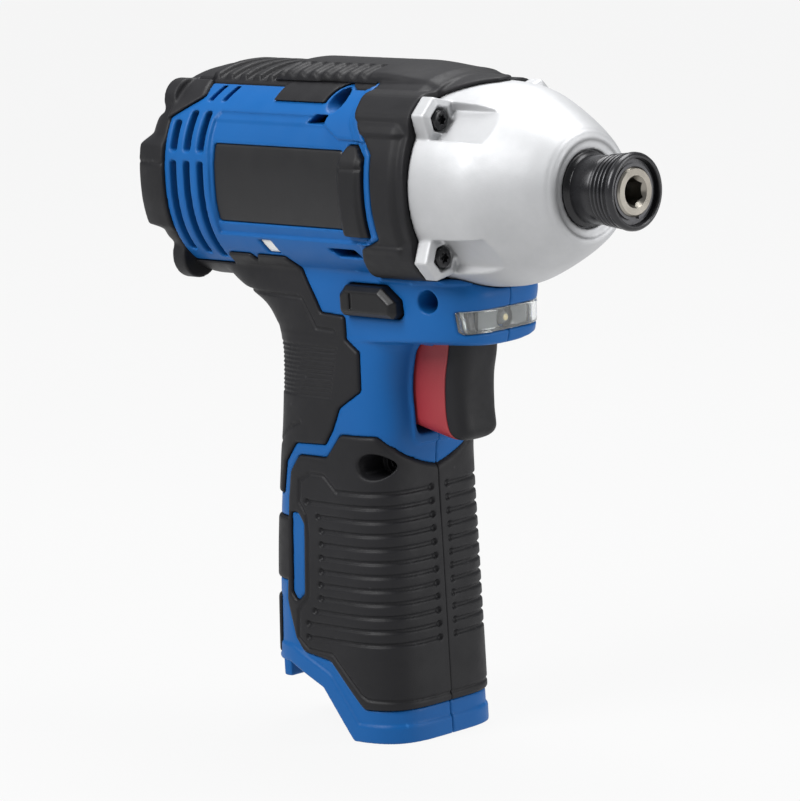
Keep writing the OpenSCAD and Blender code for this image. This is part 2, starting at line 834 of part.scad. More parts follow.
module front_boot() {
    proud = 1.2;
    tongue = 2.6;
    edge = -0.5;
    lip = 1.3;
    color("dimgray")
        moulded()
            difference() {
                union() {
                    intersection() {
                        sleeve_skin([[x_case_back - 40, proud], [x_case_back - 4, proud],
                            [x_case_back, edge]]);
                        across(boot_outline, 0);
                    }
                    intersection() {
                        difference() {
                            sleeve_skin([[tongue_x0, pad_proud], [tongue_x0 + 5, tongue],
                                [x_case_back - boot_len, tongue], [x_case_back - 4, proud],
                                [x_case_back, lip - roof_wall + 2]]);
                            difference() {
                                barrel(pad_proud + pad_gap, tongue_x0 - 1, x_case_back);
                                across(boot_outline, 0);
                            }
                        }
                        loft([for (z = [20, 40]) [for (p = [[tongue_x0, -14], [x_case_back, -13],
                            [x_case_back, 13], [tongue_x0, 14]]) [p[0], p[1], z]]]);
                    }
                    tongue_ribs(tongue);
                    intersection() {
                        case_form(lip);
                        linear_extrude(60)
                            polygon([[x_case_back - 3, -13], [x_case_back + 0.5, -13],
                                [x_case_back + 7, -6.5], [x_case_back + 11, -2], [x_case_back + 11, 2],
                                [x_case_back + 7, 6.5], [x_case_back + 0.5, 13], [x_case_back - 3, 13]]);
                    }
                }
                rod(x_case_back - 60, x_case_back + 10, skirt_r + side_gap);
                case_form(side_gap);
                at_lugs() {
                    lug_prism(lug_x0 - 0.5, x_nose, lug_half + side_gap);
                    rod(lug_x0 - 30, lug_x0, post_r + side_gap, $fn = bore_sides);
                }
            }
}

// Gear case and output

dish_depth = 1.5;
x_bushing = x_nose - dish_depth - 1.2;

// Channel that lets a driver reach the screw of a lug
module lug_channel() {
    low = case_r - channel_depth - lug_reach;
    high = lug_half + 10;
    wide = channel_half + channel_slope * (high - low);
    on_axis(lug_face)
        linear_extrude(x_nose - lug_face + 1)
            polygon([[-channel_half, low], [channel_half, low], [wide, high], [-wide, high]]);
}

module gear_case() {
    x_step = x_carrier + side_gap;
    color("silver")
        difference() {
            union() {
                case_form(0);
                rod(x_case_back + 1, x_plate, skirt_r);
                at_lugs()
                    lug_prism(lug_x0, lug_face, lug_half);
            }
            rod(x_nose - 0.5, x_nose + 1, case_nose_r - 0.9);
            rod(x_nose - dish_depth, x_nose + 1, sleeve_r + side_gap);
            rod(x_bushing - 1, x_nose + 1, journal_r + side_gap);
            rod(x_ears - 1, x_bushing, bushing_r);
            rod(x_ears, x_step, cavity_r);
            rod(x_step + 1, x_plate - 1, ring_r + run_gap);
            at_lugs() {
                lug_channel();
                rod(lug_x1, x_nose + 20, head_r + side_gap);
                rod(lug_x0 - 1, lug_x1 + 1, screw_r + run_gap);
            }
        }
}

module gear_case_screws() {
    color("black")
        at_lugs()
            translate([2 * lug_x1, 0, 0])
                rotate([0, 0, 180])
                    screw(lug_x1, lug_screw_len, head_r);
}

module nose_bushing() {
    color("peru")
        tube(x_nose - bushing_len, x_bushing, bushing_r, journal_r + run_gap);
}

ball_x = -10.5;
ball_out = 1;
washer_t = 0.8;
ring_t = 0.7;
collet_seat = -0.7;
pilot_r = 3;
pilot_len = ear_len + 3;

module anvil() {
    color("lightsteelblue")
        difference() {
            union() {
                turned([[0, 0], [0, shank_r - 0.5], [-0.5, shank_r], [x_nose + 0.6, shank_r],
                    [x_nose + 0.6, journal_r], [x_ears, journal_r], [x_ears, ear_r * 0.55],
                    [x_ears - ear_len, ear_r * 0.55], [x_ears - ear_len, 0]]);
                intersection() {
                    box([x_ears - ear_len, -ear_r, -ear_t / 2], [x_ears, ear_r, ear_t / 2]);
                    rod(x_ears - ear_len, x_ears, ear_r);
                }
            }
            on_axis(-socket_depth)
                cylinder(h = socket_depth + 1, r = hex_af / sqrt(3), $fn = 6);
            turned([[0.1, 0], [0.1, hex_af * 0.67], [-1.2, hex_af * 0.5], [-1.2, 0]]);
            rod(x_ears - ear_len - 1, x_ears - ear_len + pilot_len, pilot_r + run_gap);
            tube(collet_seat - ring_t, collet_seat, shank_r + 1, shank_r - 0.5);
            for (s = [-1, 1])
                translate([ball_x, 0, 0])
                    rotate([s * 90, 0, 0])
                        cylinder(h = shank_r + 1, r = detent_r + run_gap);
        }
}

sleeve_bore = shank_r + run_gap;
sleeve_shoulder = collet_seat - ring_t - washer_t - 6;
sleeve_ramp = ball_out * (ball_x - x_sleeve_back) / sleeve_travel;

module collet_sleeve() {
    ring_w = 1.3;
    ring_pitch = 2.1;
    neck_r = sleeve_r - 0.8;
    front = sleeve_lip;
    color("black")
        difference() {
            turned(concat([[front, 0], [front, sleeve_r - 0.8], [front - 0.8, sleeve_r]],
                [for (k = [0 : 3], p = [[0, 1], [-ring_w, 1], [-ring_w - 0.3, 0], [-ring_pitch + 0.3, 0]])
                    [front - 2 - k * ring_pitch + p[0], p[1] > 0 ? sleeve_r : neck_r]],
                [[x_sleeve_back + 0.6, neck_r], [x_sleeve_back, neck_r - 0.6], [x_sleeve_back, 0]]));
            rod(sleeve_shoulder, front + 1, sleeve_pocket);
            rod(x_sleeve_back - 1, front, sleeve_bore);
            turned([[ball_x, 0], [ball_x, sleeve_bore], [x_sleeve_back - 1, sleeve_bore + sleeve_ramp
                * (x_sleeve_back - 1 - ball_x) / (x_sleeve_back - ball_x)], [x_sleeve_back - 1, 0]]);
        }
}

module collet_ring() {
    color("gray")
        difference() {
            tube(collet_seat - ring_t, collet_seat, shank_r + 0.8, shank_r - 0.5);
            box([collet_seat - 2, -1.4, -20], [collet_seat + 1, 1.4, 0]);
        }
}

module collet_washer() {
    color("gray")
        tube(collet_seat - ring_t - washer_t, collet_seat - ring_t, sleeve_pocket - run_gap * 2,
            shank_r + run_gap);
}

// Points of a coil along the axis from x0 to x1
function coil(x0, x1, r, turns, n) =
    [for (i = [0 : n * turns]) let (t = i / (n * turns))
        [x0 + (x1 - x0) * t, r * cos(360 * turns * t), r * sin(360 * turns * t)]];

// Round wire swept along a path that winds about the axis
module wire(path, r, sides) {
    rings = [for (i = [0 : len(path) - 1])
        let (p = path[i], a = path[max(i - 1, 0)], b = path[min(i + 1, len(path) - 1)],
            d = (b - a) / norm(b - a), out = [0, p.y, p.z] / norm([0, p.y, p.z]),
            e = cross(d, out), u = e / norm(e), v = cross(u, d))
        [for (k = [0 : sides - 1]) p + r * cos(-360 * k / sides) * u + r * sin(-360 * k / sides) * v]];
    loft(rings);
}

module collet_spring() {
    front = collet_seat - ring_t - washer_t - sleeve_wire - run_gap;
    back = sleeve_shoulder + sleeve_wire + run_gap;
    color("lightgray")
        wire(coil(back, front, shank_r + 1.1, 3, 10), sleeve_wire, 6);
}

module detent_ball(s) {
    color("gainsboro")
        translate([ball_x, s * ball_home, 0])
            sphere(r = detent_r);
}
module detent_ball_right() {
    detent_ball(-1);
}
module detent_ball_left() {
    detent_ball(1);
}

// Impact mechanism

jaw_len = ear_len - 1;
jaw_r0 = ear_r * 0.55 + 0.8;
jaw_angle = 42;
ear_angle = asin(ear_t / 2 / jaw_r0);
jaw_start = ear_angle + 2;
cam_x = x_hammer - 5.5;
recess_r0 = spindle_r + cam_ball_r + 0.52;
recess_r1 = hammer_r - 3.4;
recess_depth = hammer_len - 5.5;
thrust_r = 1.2;
hammer_washer_t = 1.6;
x_thrust = x_hammer_back + recess_depth;

module hammer() {
    color("slategray")
        difference() {
            union() {
                turned([[x_hammer, 0], [x_hammer, hammer_r - 0.6], [x_hammer - 0.6, hammer_r],
                    [x_hammer_back + 0.6, hammer_r], [x_hammer_back, hammer_r - 0.6], [x_hammer_back, 0]]);
                for (s = [0, 180])
                    intersection() {
                        tube(x_hammer - 1, x_hammer + jaw_len, hammer_r - 0.4, jaw_r0);
                        on_axis(x_hammer - 1)
                            linear_extrude(jaw_len + 1)
                                polygon(concat([[0, 0]], [for (a = [0, jaw_angle / 2, jaw_angle])
                                    let (t = s + 90 - jaw_start - a) 40 * [cos(t), sin(t)]]));
                    }
            }
            rod(x_hammer_back - 1, x_hammer + 1, spindle_r + run_gap);
            tube(x_hammer_back - 1, x_thrust, recess_r1, recess_r0);
            for (s = [-1, 1]) {
                translate([cam_x, 0, s * spindle_r])
                    sphere(r = cam_ball_r + run_gap);
                translate([0, 0, s * spindle_r])
                    rod(cam_x, x_hammer + 1, cam_ball_r + run_gap);
            }
        }
}

module cam_balls() {
    color("gainsboro")
        for (s = [-1, 1])
            translate([cam_x, 0, s * spindle_r])
                sphere(r = cam_ball_r);
}

thrust_pcd = (recess_r0 + recess_r1) / 2;

module thrust_balls() {
    color("gainsboro")
        for (k = [0 : 7])
            rotate([45 * k, 0, 0])
                translate([x_thrust - thrust_r, 0, thrust_pcd])
                    sphere(r = thrust_r - run_gap);
}

module hammer_washer() {
    color("gray")
        tube(x_thrust - 2 * thrust_r - hammer_washer_t, x_thrust - 2 * thrust_r, recess_r1 - 0.2,
            recess_r0 + 0.2);
}

module hammer_spring() {
    front = x_thrust - 2 * thrust_r - hammer_washer_t - hammer_wire - run_gap;
    back = x_carrier + hammer_wire + run_gap;
    color("lightgray")
        wire(coil(back, front, thrust_pcd, 3, 10), hammer_wire, 6);
}

// Gearing

planet_pcd = gear_m * (sun_z + planet_z) / 2;
carrier_r = planet_pcd + pin_r + 2;
hub_r = 7.5;
hub_len = bearing_w;

// Path of one cam groove: from the ball's home back both ways
function cam_path(s, turn, n) = [for (i = [0 : n + 2])
    let (t = i / n, a = s * 90 + turn * cam_turn * t)
    [cam_x - hammer_travel * t, spindle_r * cos(a), spindle_r * sin(a)]];

module spindle() {
    color("lightsteelblue")
        difference() {
            union() {
                rod(x_ears - ear_len + pilot_len - 1, x_carrier, pilot_r);
                rod(x_hammer - side_gap, x_carrier, spindle_r);
                rod(x_carrier - carrier_t, x_carrier, carrier_r);
                rod(x_carrier_back, x_carrier_back + carrier_t, carrier_r);
                for (k = [0 : 2])
                    rotate([60 + 120 * k, 0, 0])
                        translate([0, 0, planet_pcd])
                            rod(x_carrier_back, x_carrier, 2.6);
                rod(x_carrier_back - hub_len, x_carrier_back + carrier_t, hub_r);
            }
            rod(x_carrier_back - 20, x_carrier - carrier_t + 1, gear_m * (sun_z / 2 + 1) + side_gap);
            for (k = [0 : 2])
                rotate([120 * k, 0, 0])
                    translate([0, 0, planet_pcd])
                        rod(x_carrier_back - 1, x_carrier + 1, pin_r);
            for (s = [-1, 1], turn = [-1, 1])
                wire(cam_path(s, turn, 4), cam_ball_r + 0.3, 10);
            for (s = [-1, 1])
                translate([cam_x, 0, s * spindle_r])
                    sphere(r = cam_ball_r + 0.2);
        }
}

module planet_pins() {
    color("gray")
        for (k = [0 : 2])
            rotate([120 * k, 0, 0])
                translate([0, 0, planet_pcd])
                    rod(x_carrier_back, x_carrier, pin_r);
}

module planet(k) {
    color("darkgray")
        rotate([120 * k, 0, 0])
            translate([0, 0, planet_pcd])
                on_axis(x_planets - gear_w)
                    difference() {
                        linear_extrude(gear_w)
                            rotate(180 / planet_z)
                                polygon(gear_points(planet_z, gear_m, 0.9 * gear_m, 1.25 * gear_m, backlash));
                        translate([0, 0, -1])
                            cylinder(h = gear_w + 2, r = pin_r + run_gap);
                    }
}
module planet_1() {
    planet(0);
}
module planet_2() {
    planet(1);
}
module planet_3() {
    planet(2);
}

module ring_gear() {
    color("darkgray")
        on_axis(x_planets - gear_w)
            difference() {
                cylinder(h = gear_w, r = ring_r);
                translate([0, 0, -1])
                    linear_extrude(gear_w + 2)
                        rotate(180 / ring_z)
                            polygon(gear_points(ring_z, gear_m, 1.25 * gear_m, 0.9 * gear_m, -backlash));
            }
}

bearing_r = 12;

module gearbox_plate() {
    color("gray")
        difference() {
            rod(x_can, x_plate, skirt_r);
            rod(x_plate - bearing_w, x_plate + 1, bearing_r);
            rod(x_can - 1, x_plate, 7);
        }
}

module spindle_bearing() {
    groove = 1.1;
    color("gainsboro")
        difference() {
            tube(x_plate - bearing_w, x_plate, bearing_r, hub_r + run_gap);
            for (x = [x_plate - bearing_w, x_plate])
                tube(x - 0.4, x + 0.4, bearing_r - 1.5, hub_r + groove + 0.4);
        }
}

// Motor

pinion_x0 = x_planets - gear_w;
shaft_front = x_planets;
shaft_back = x_bell_back + 0.4;
x_core = x_can - fan_room;
commutator_r = 4.6;

module drive_pinion() {
    color("darkgray")
        on_axis(pinion_x0)
            difference() {
                linear_extrude(gear_w)
                    polygon(gear_points(sun_z, gear_m, gear_m, 1.25 * gear_m, backlash));
                translate([0, 0, -1])
                    cylinder(h = gear_w + 2, r = motor_shaft_r);
            }
}

module rotor_shaft() {
    color("lightsteelblue")
        rod(shaft_back, shaft_front, motor_shaft_r);
}

module rotor_core() {
    slots = 5;
    color("saddlebrown")
        difference() {
            rod(x_core - core_len, x_core, core_r);
            rod(x_core - core_len - 1, x_core + 1, motor_shaft_r);
            for (k = [0 : slots - 1])
                rotate([360 * k / slots, 0, 0])
                    box([x_core - core_len - 1, -0.9, core_r - 4], [x_core + 1, 0.9, core_r + 1]);
        }
}

module commutator() {
    color("orange")
        difference() {
            tube(x_core - core_len - commutator_len, x_core - core_len - 1, commutator_r, motor_shaft_r);
            for (k = [0 : 4])
                rotate([72 * k + 36, 0, 0])
                    box([x_core - core_len - commutator_len - 1, -0.25, commutator_r - 0.8],
                        [x_core - core_len, 0.25, commutator_r + 1]);
        }
}

module cooling_fan() {
    x0 = x_can - 10.5;
    x1 = x_can - 6;
    color("dimgray")
        difference() {
            union() {
                rod(x0, x1, 4);
                rod(x0, x0 + 1, core_r - 0.4);
                for (k = [0 : 8])
                    rotate([40 * k, 0, 0])
                        translate([x0, 0, 3])
                            rotate([0, 0, 12])
                                box([0.5, -0.5, 0], [x1 - x0, 0.5, core_r - 4]);
            }
            rod(x0 - 1, x1 + 1, motor_shaft_r);
        }
}

module motor_can() {
    boss_r = 6.5;
    color("silver")
        difference() {
            union() {
                rod(x_can_back, x_can, can_r);
                rod(x_can - 1, x_can + 0.4, boss_r);
            }
            rod(x_can_back - 1, x_can - can_wall, can_r - can_wall);
            rod(x_can - can_wall - 1, x_can + 1, 4.5);
            for (k = [0 : 3])
                rotate([90 * k + 45, 0, 0])
                    box([x_can - 10.5, -5, can_r - 4], [x_can - 5, 5, can_r + 2]);
        }
}

magnet_r0 = core_r + 0.5;

module motor_magnets() {
    color("dimgray")
        for (s = [-1, 1])
            intersection() {
                tube(x_core - core_len, x_core, can_r - can_wall, magnet_r0);
                box([x_core - core_len - 1, s > 0 ? 0 : -30, -10], [x_core + 1, s > 0 ? 30 : 0, 10]);
            }
}

module motor_front_bush() {
    color("peru")
        tube(x_can - 4, x_can + 0.4, 4.5, motor_shaft_r + run_gap);
}

brush_h = 3;

module motor_end_bell() {
    color("white")
        difference() {
            union() {
                rod(x_bell_back, x_can_back, can_r);
                rod(x_can_back, x_can_back + 3, can_r - can_wall);
            }
            rod(x_bell_back + 4, x_can_back + 4, can_r - 4);
            rod(x_bell_back - 1, x_can_back + 4, 3.5);
            for (k = [0 : 3])
                rotate([90 * k + 45, 0, 0])
                    box([x_bell_back - 1, -5, can_r - 8], [x_bell_back + 4.5, 5, can_r - 3.5]);
        }
}

module motor_rear_bush() {
    color("peru")
        tube(x_bell_back, x_bell_back + 4, 3.5, motor_shaft_r + run_gap);
}

module carbon_brushes() {
    x0 = x_core - core_len - commutator_len + 1.5;
    reach = can_r - can_wall - side_gap;
    color("black")
        for (s = [-1, 1])
            difference() {
                box([x0, s > 0 ? 0 : -reach, -brush_h / 2], [x0 + 4, s > 0 ? reach : 0, brush_h / 2]);
                rod(x0 - 1, x0 + 6, commutator_r + run_gap);
            }
}

// Trigger, selector and lamp

cover_x = x_grip + 12.6;
face_dip = 2.4;
lobe = 4;
// Side outline of the trigger's front, from the top down: hollow in the middle, with a round lobe below
trigger_face = [for (i = [0 : 16])
    let (t = i / 16, low = max(t - 0.86, 0) / 0.14)
    [trigger_front - face_dip * sin(180 * min(1.06 * t, 1)) ^ 2 - lobe * (1 - sqrt(1 - low ^ 2)),
        trigger_z1 - trigger_h * t]];
// Curved seam between the trigger's body and its soft front
trigger_seam = [for (i = [0 : 8])
    let (t = i / 8)
    [cover_x - 1.2 * sin(180 * t) + 0.9 * max(t - 0.8, 0) / 0.2, trigger_z1 - trigger_h * t]];
plunger_r = 2.4;

module trigger_form() {
    intersection() {
        across(concat(trigger_face, [[trigger_back, trigger_z0], [trigger_back, trigger_z1]]), 0);
        translate([0, 0, z_waist])
            linear_extrude(-z_waist)
                union() {
                    translate([trigger_back - 1, -trigger_w / 2])
                        square([trigger_front - trigger_back - trigger_w / 4, trigger_w]);
                    intersection() {
                        translate([trigger_front - trigger_w, 0])
                            circle(r = trigger_w * 1.02);
                        translate([trigger_back, -trigger_w / 2])
                            square([60, trigger_w]);
                    }
                }
    }
}

// Everything behind the seam
module behind_seam() {
    top = trigger_seam[0];
    low = trigger_seam[8];
    across(concat([[trigger_back - 1, top.y + 1], [top.x, top.y + 1]], trigger_seam,
        [[low.x, low.y - 1], [trigger_back - 1, low.y - 1]]), 0);
}

module trigger() {
    z = (trigger_z0 + trigger_z1) / 2;
    color("firebrick") {
        intersection() {
            trigger_form();
            behind_seam();
        }
        translate([0, 0, z])
            rod(switch_x1 - trigger_travel - 2, trigger_back + 1, plunger_r);
    }
}

module trigger_cover() {
    color("dimgray")
        difference() {
            trigger_form();
            behind_seam();
        }
}

module trigger_switch() {
    z = (trigger_z0 + trigger_z1) / 2;
    color("black")
        difference() {
            box([switch_x0, -switch_half, switch_z0], [switch_x1, switch_half, switch_z1]);
            translate([0, 0, z])
                rod(switch_x1 - 2 * trigger_travel - 4, switch_x1 + 1, plunger_r + run_gap);
        }
}

module trigger_spring() {
    z = (trigger_z0 + trigger_z1) / 2;
    r = 0.4;
    color("lightgray")
        translate([0, 0, z])
            wire(coil(switch_x1 + r + run_gap, trigger_back - r - run_gap, plunger_r + r + 0.4, 4, 10), r, 5);
}

// Outline of the direction button, pushed across the neck
module selector_form(g, half) {
    x0 = selector_x0 - g;
    x1 = selector_x0 + selector_len + g;
    h = selector_h / 2 + g;
    cut = 2.4;
    translate([0, 0, selector_z])
        across_to([[x0, -h + cut / 2], [x0 + cut / 2, -h], [x1 - cut / 2, -h], [x1, -h + cut / 2],
            [x1, 0.5], [x1 - 2 * cut, h], [x0 + cut, h], [x0, h - cut]], half);
}
module across_to(outline, half) {
    translate([0, half, 0])
        rotate([90, 0, 0])
            linear_extrude(2 * half)
                polygon(outline);
}

module direction_selector() {
    reach = neck_w / 2 + selector_travel + 0.6;
    inner = 9;
    color("black")
        difference() {
            selector_form(0, reach);
            difference() {
                selector_form(1, inner);
                box([selector_x0 + 6, -inner - 1, selector_z - 2.4],
                    [selector_x0 + 14, inner + 1, selector_z + 2.4]);
            }
            for (s = [-1, 1])
                translate([selector_x0 + 5, s * reach, selector_z])
                    cube([0.8, 1, selector_h * 0.5], center = true);
        }
}

module lens_form(proud, depth, grow = 0) {
    intersection() {
        difference() {
            handle(proud);
            handle(-depth);
        }
        box([x_head - 7 - grow, -60, lens_z - lens_h / 2 - grow],
            [x_head + 10, 60, lens_z + lens_h / 2 + grow]);
    }
}

module led_lens() {
    color("whitesmoke", 0.5)
        moulded()
            lens_form(0.1, 2.2);
}

module led() {
    color("lemonchiffon")
        translate([0, 0, lens_z]) {
            rod(x_head - 8.6, x_head - 5, 2);
            translate([x_head - 5, 0, 0])
                sphere(r = 2);
        }
}

module led_board() {
    color("darkgreen")
        box([x_head - 10.2, -board_half, lens_z - 2.2], [x_head - 8.6, board_half, lens_z + 2.2]);
}

// Battery contacts

block_h = 7;
block_half = 11;
blade_rows = [-7, 0, 7];
blade_half = 0.5;
blade_reach = 7;
blade_x0 = x_grip_back + 16.5;
blade_x1 = x_grip - 17;

module terminal_block() {
    color("black")
        difference() {
            box([blade_x0 - 4, -block_half, bay_top - block_h], [blade_x1 + 7, block_half, bay_top]);
            for (y = blade_rows)
                box([blade_x0, y - blade_half, bay_top - block_h - 1],
                    [blade_x1, y + blade_half, bay_top - 2]);
        }
}

module battery_terminals() {
    color("gold")
        for (y = blade_rows)
            box([blade_x0, y - blade_half, bay_top - block_h - blade_reach],
                [blade_x1, y + blade_half, bay_top - 2]);
}

module housing_screws() {
    color("gray")
        for (p = shell_screws)
            translate([p[0], -well_y, p[1]])
                rotate([0, 0, 90])
                    screw(0, 14, screw_hole_r - side_gap);
}

housing_right();
housing_left();
grip_pad_right();
grip_pad_left();
palm_pad_right();
palm_pad_left();
top_pad();
side_panel_right();
side_panel_left();
bumper_right();
bumper_left();
rear_cover();
rear_cover_screws();
front_boot();
gear_case();
gear_case_screws();
nose_bushing();
anvil();
collet_sleeve();
collet_spring();
collet_washer();
collet_ring();
detent_ball_right();
detent_ball_left();
hammer();
cam_balls();
hammer_spring();
hammer_washer();
thrust_balls();
spindle();
planet_pins();
planet_1();
planet_2();
planet_3();
ring_gear();
gearbox_plate();
spindle_bearing();
drive_pinion();
rotor_shaft();
rotor_core();
commutator();
cooling_fan();
motor_can();
motor_magnets();
motor_end_bell();
carbon_brushes();
motor_front_bush();
motor_rear_bush();
trigger();
trigger_cover();
trigger_switch();
trigger_spring();
direction_selector();
led_lens();
led();
led_board();
terminal_block();
battery_terminals();
housing_screws();
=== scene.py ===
import json
import math
from functools import reduce
import bpy
import numpy as np
from mathutils import Matrix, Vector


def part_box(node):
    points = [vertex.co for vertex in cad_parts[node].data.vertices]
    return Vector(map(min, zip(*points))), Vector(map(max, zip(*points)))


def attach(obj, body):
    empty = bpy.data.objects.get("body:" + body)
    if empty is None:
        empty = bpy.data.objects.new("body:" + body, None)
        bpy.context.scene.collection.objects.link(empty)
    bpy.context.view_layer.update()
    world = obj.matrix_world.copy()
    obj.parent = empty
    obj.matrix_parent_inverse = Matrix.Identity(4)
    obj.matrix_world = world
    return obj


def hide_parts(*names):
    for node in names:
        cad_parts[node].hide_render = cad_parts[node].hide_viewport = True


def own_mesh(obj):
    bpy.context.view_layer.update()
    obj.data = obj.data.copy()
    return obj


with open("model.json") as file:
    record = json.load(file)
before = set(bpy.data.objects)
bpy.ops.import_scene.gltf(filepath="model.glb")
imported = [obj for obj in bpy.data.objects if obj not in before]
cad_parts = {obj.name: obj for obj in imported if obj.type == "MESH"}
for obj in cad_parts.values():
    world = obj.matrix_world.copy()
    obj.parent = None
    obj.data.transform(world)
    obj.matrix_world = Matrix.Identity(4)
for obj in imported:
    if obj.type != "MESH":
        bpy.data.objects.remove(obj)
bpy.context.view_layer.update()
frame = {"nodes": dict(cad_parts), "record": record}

# Every length below is in millimetres and is turned into metres when a mesh is made.
MM = 0.001
joints = {joint["name"]: joint for joint in frame["record"]["behaviour"]["joints"]}


def low(name):
    return [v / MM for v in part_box(name)[0]]


def high(name):
    return [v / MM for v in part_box(name)[1]]


def travel(joint):
    return max(abs(v) for v in joints[joint]["range_m"]) / MM


def shifted(x0, z0, points):
    return [(x0 + a, z0 + c) for a, c in points]


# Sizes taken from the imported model, with the relations that the part uses.
case_len = 39
x_nose = high("gear_case")[0]
x_case_back = x_nose - case_len
x_can = x_nose - 67.8
x_barrel_back = x_nose - 129.3
x_cover_back = low("rear_cover")[0]
x_grip = x_can + 6.6
x_grip_back = x_grip - 45.5
x_head = x_grip + 31
x_panel = x_can + 5.1
x_tongue = x_panel - 37
x_boot_back = x_case_back - 22
z_foot = low("housing_right")[2]
z_head = -40.0
z_waist = -75.0
z_neck = -18.0
bar_a, bar_b, bar_n = 28.5, 28.0, 2.3
skirt_r = 24.75
cavity_r = 20.2
case_r = 27.0
nose_r = 14.0
pad_proud, pad_depth = 0.7, 1.4
bed_gap = 0.06
lug_reach = 26.3
lug_x1 = x_case_back + 3.5
lug_angles = [45, 135, -39.5, 219.5]
lugs = [(a, lug_reach * math.cos(math.radians(a)), lug_reach * math.sin(math.radians(a))) for a in lug_angles]
cover_screws = [(cy, cz) for cy in (-17, 17) for cz in (-20.4, 20.4)]
cover_seat = 5
screw_hole_r = 1.45
shell_seat = 8
shell_screws = [(x_grip + 17.5, -29.3), (x_grip - 5.4, z_waist + 0.4), (x_can - 2.9, 22.2)]
bay_top = z_waist - 17
bay_half = 17

# Height, back, front and half width of the handle.
handle_rows = np.array([
    [z_foot, x_grip_back - 5, x_grip, 20.7],
    [z_foot + 18, x_grip_back - 4, x_grip, 20.6],
    [z_foot + 50, x_grip_back - 2.1, x_grip, 20.3],
    [z_waist, x_grip_back + 1, x_grip, 20],
    [z_head - 26, x_grip_back + 2.3, x_grip + 1.1, 19.7],
    [z_head - 14, x_grip_back + 3.5, x_grip + 0.9, 19.35],
    [z_head - 7, x_grip_back + 3.6, x_grip + 2.2, 19],
    [z_head - 3, x_grip_back + 3.0, x_grip + 4, 18.7],
    [z_head - 1.4, x_grip_back + 2.7, x_grip + 7, 18.6],
    [z_head - 0.7, x_grip_back + 2.5, x_grip + 17, 18.6],
    [z_head - 0.1, x_grip_back + 2.3, x_head - 4.2, 18.5],
    [z_head + 1.2, x_grip_back + 1.8, x_head - 2, 18.5],
    [z_head + 7, x_grip_back - 2.8, x_head - 1.1, 18.6],
    [z_head + 13, x_grip_back - 13, x_head - 0.3, 18.9],
    [z_neck, x_grip_back - 24, x_head - 6, 18.9]])
# Distance behind the nose and radius of the gear case.
case_rows = np.array([[1, nose_r + 1.2], [6.7, case_r - 8.2], [15.7, case_r - 3.6],
                      [21.7, case_r - 1.3], [28.5, case_r - 0.45], [case_len, case_r]])

# Outlines seen from the side.
grip_outline = [
    (x_grip + 12, z_waist - 1), (x_grip - 0.4, z_waist + 4), (x_grip - 4, z_waist + 8.4),
    (x_grip - 15.5, z_waist + 8.4), (x_grip - 21, z_waist + 1.8), (x_grip - 31.5, z_waist + 1.8),
    (x_grip_back + 10, z_waist - 3), (x_grip_back + 8.6, z_waist - 11), (x_grip_back + 6, z_foot + 36),
    (x_grip_back + 9, z_foot + 26), (x_grip_back + 12, z_foot + 22.5), (x_grip - 23.5, z_foot + 21),
    (x_grip - 12, z_foot + 9), (x_grip + 12, z_foot + 9)]
slot_outline = shifted(x_grip_back, z_waist, [
    (9.5, -14), (12.5, -14), (14.6, -17), (13.4, -36), (10.6, -38.4), (8.4, -36)])
palm_outline = [
    (x_grip_back - 30, -22.8), (x_grip_back - 6.5, -22.8), (x_grip_back - 6, -19.3), (x_grip_back + 3, -19.3),
    (x_grip_back + 4, -21.4), (x_grip_back + 5.4, -19.3), (x_grip - 29.5, -19.4), (x_grip - 27, -22.8),
    (x_grip - 21, -34.4), (x_grip - 12.4, -34.8), (x_grip - 12.4, -41), (x_grip - 7.8, -44.2),
    (x_grip - 8, -54.6), (x_grip - 15.5, -59.4), (x_grip - 18.5, -65.6), (x_grip - 21.2, -69.6),
    (x_grip - 32.6, -70), (x_grip_back + 8, z_waist - 0.5), (x_grip_back + 6, z_waist - 9.5),
    (x_grip_back - 30, z_waist - 9.5)]
back_blocks = [[(x_grip_back - 30, a), (x_grip_back + b, a), (x_grip_back + b - 1, c), (x_grip_back - 30, c)]
               for a, b, c in ((z_waist - 15.6, 9.5, z_waist - 33), (z_waist - 37.6, 1.8, z_foot + 20.6))]
foot_cut = [
    (x_grip_back - 20, z_foot + 19), (x_grip_back + 6, z_foot + 19), (x_grip - 26.8, z_foot + 13.4),
    (x_grip - 16.2, z_foot), (x_grip - 16.2, z_foot - 10), (x_grip_back - 20, z_foot - 10)]
boot_outline = shifted(x_case_back, 0, [
    (8, 40), (-22, 40), (-21, 23.5), (-20, 19), (-11.7, 10), (-11.5, -3), (-11, -12), (-18, -15),
    (-20, -23.4), (8, -23.4)])
panel_outline = shifted(x_panel, 0, [(-48.5, -10.4), (0, -10.4), (0, 10.4), (-48.5, 10.4)])
bumper_outline = shifted(x_panel, 0, [(0, -11.9), (0, 7.4), (2.3, 11.9), (5.6, 11.9), (9, 8.3), (9, -11.9)])
tab_outline = shifted(x_barrel_back, 0, [
    (-2, 15.4), (3.7, 18.6), (9, 21.7), (7.1, 25.2), (7.1, 40), (-2, 40)])
light_slot = shifted(x_panel, 0, [(-35, -14.8), (-30.4, -14.8), (-28.9, -18.5), (-33.6, -18.5)])
selector_x0, selector_z = x_grip - 11.6, -30.0
selector_outline = shifted(selector_x0, selector_z, [
    (0, -2.9), (1.2, -4.1), (19.4, -4.1), (20.6, -2.9), (20.6, 0.5), (15.8, 4.1), (2.4, 4.1), (0, 1.7)])
lens_z = -35.0
lens_outline = shifted(x_head, lens_z, [(-5.8, -2.2), (-4.9, -3), (9, -3), (9, 3), (-6.3, 3)])

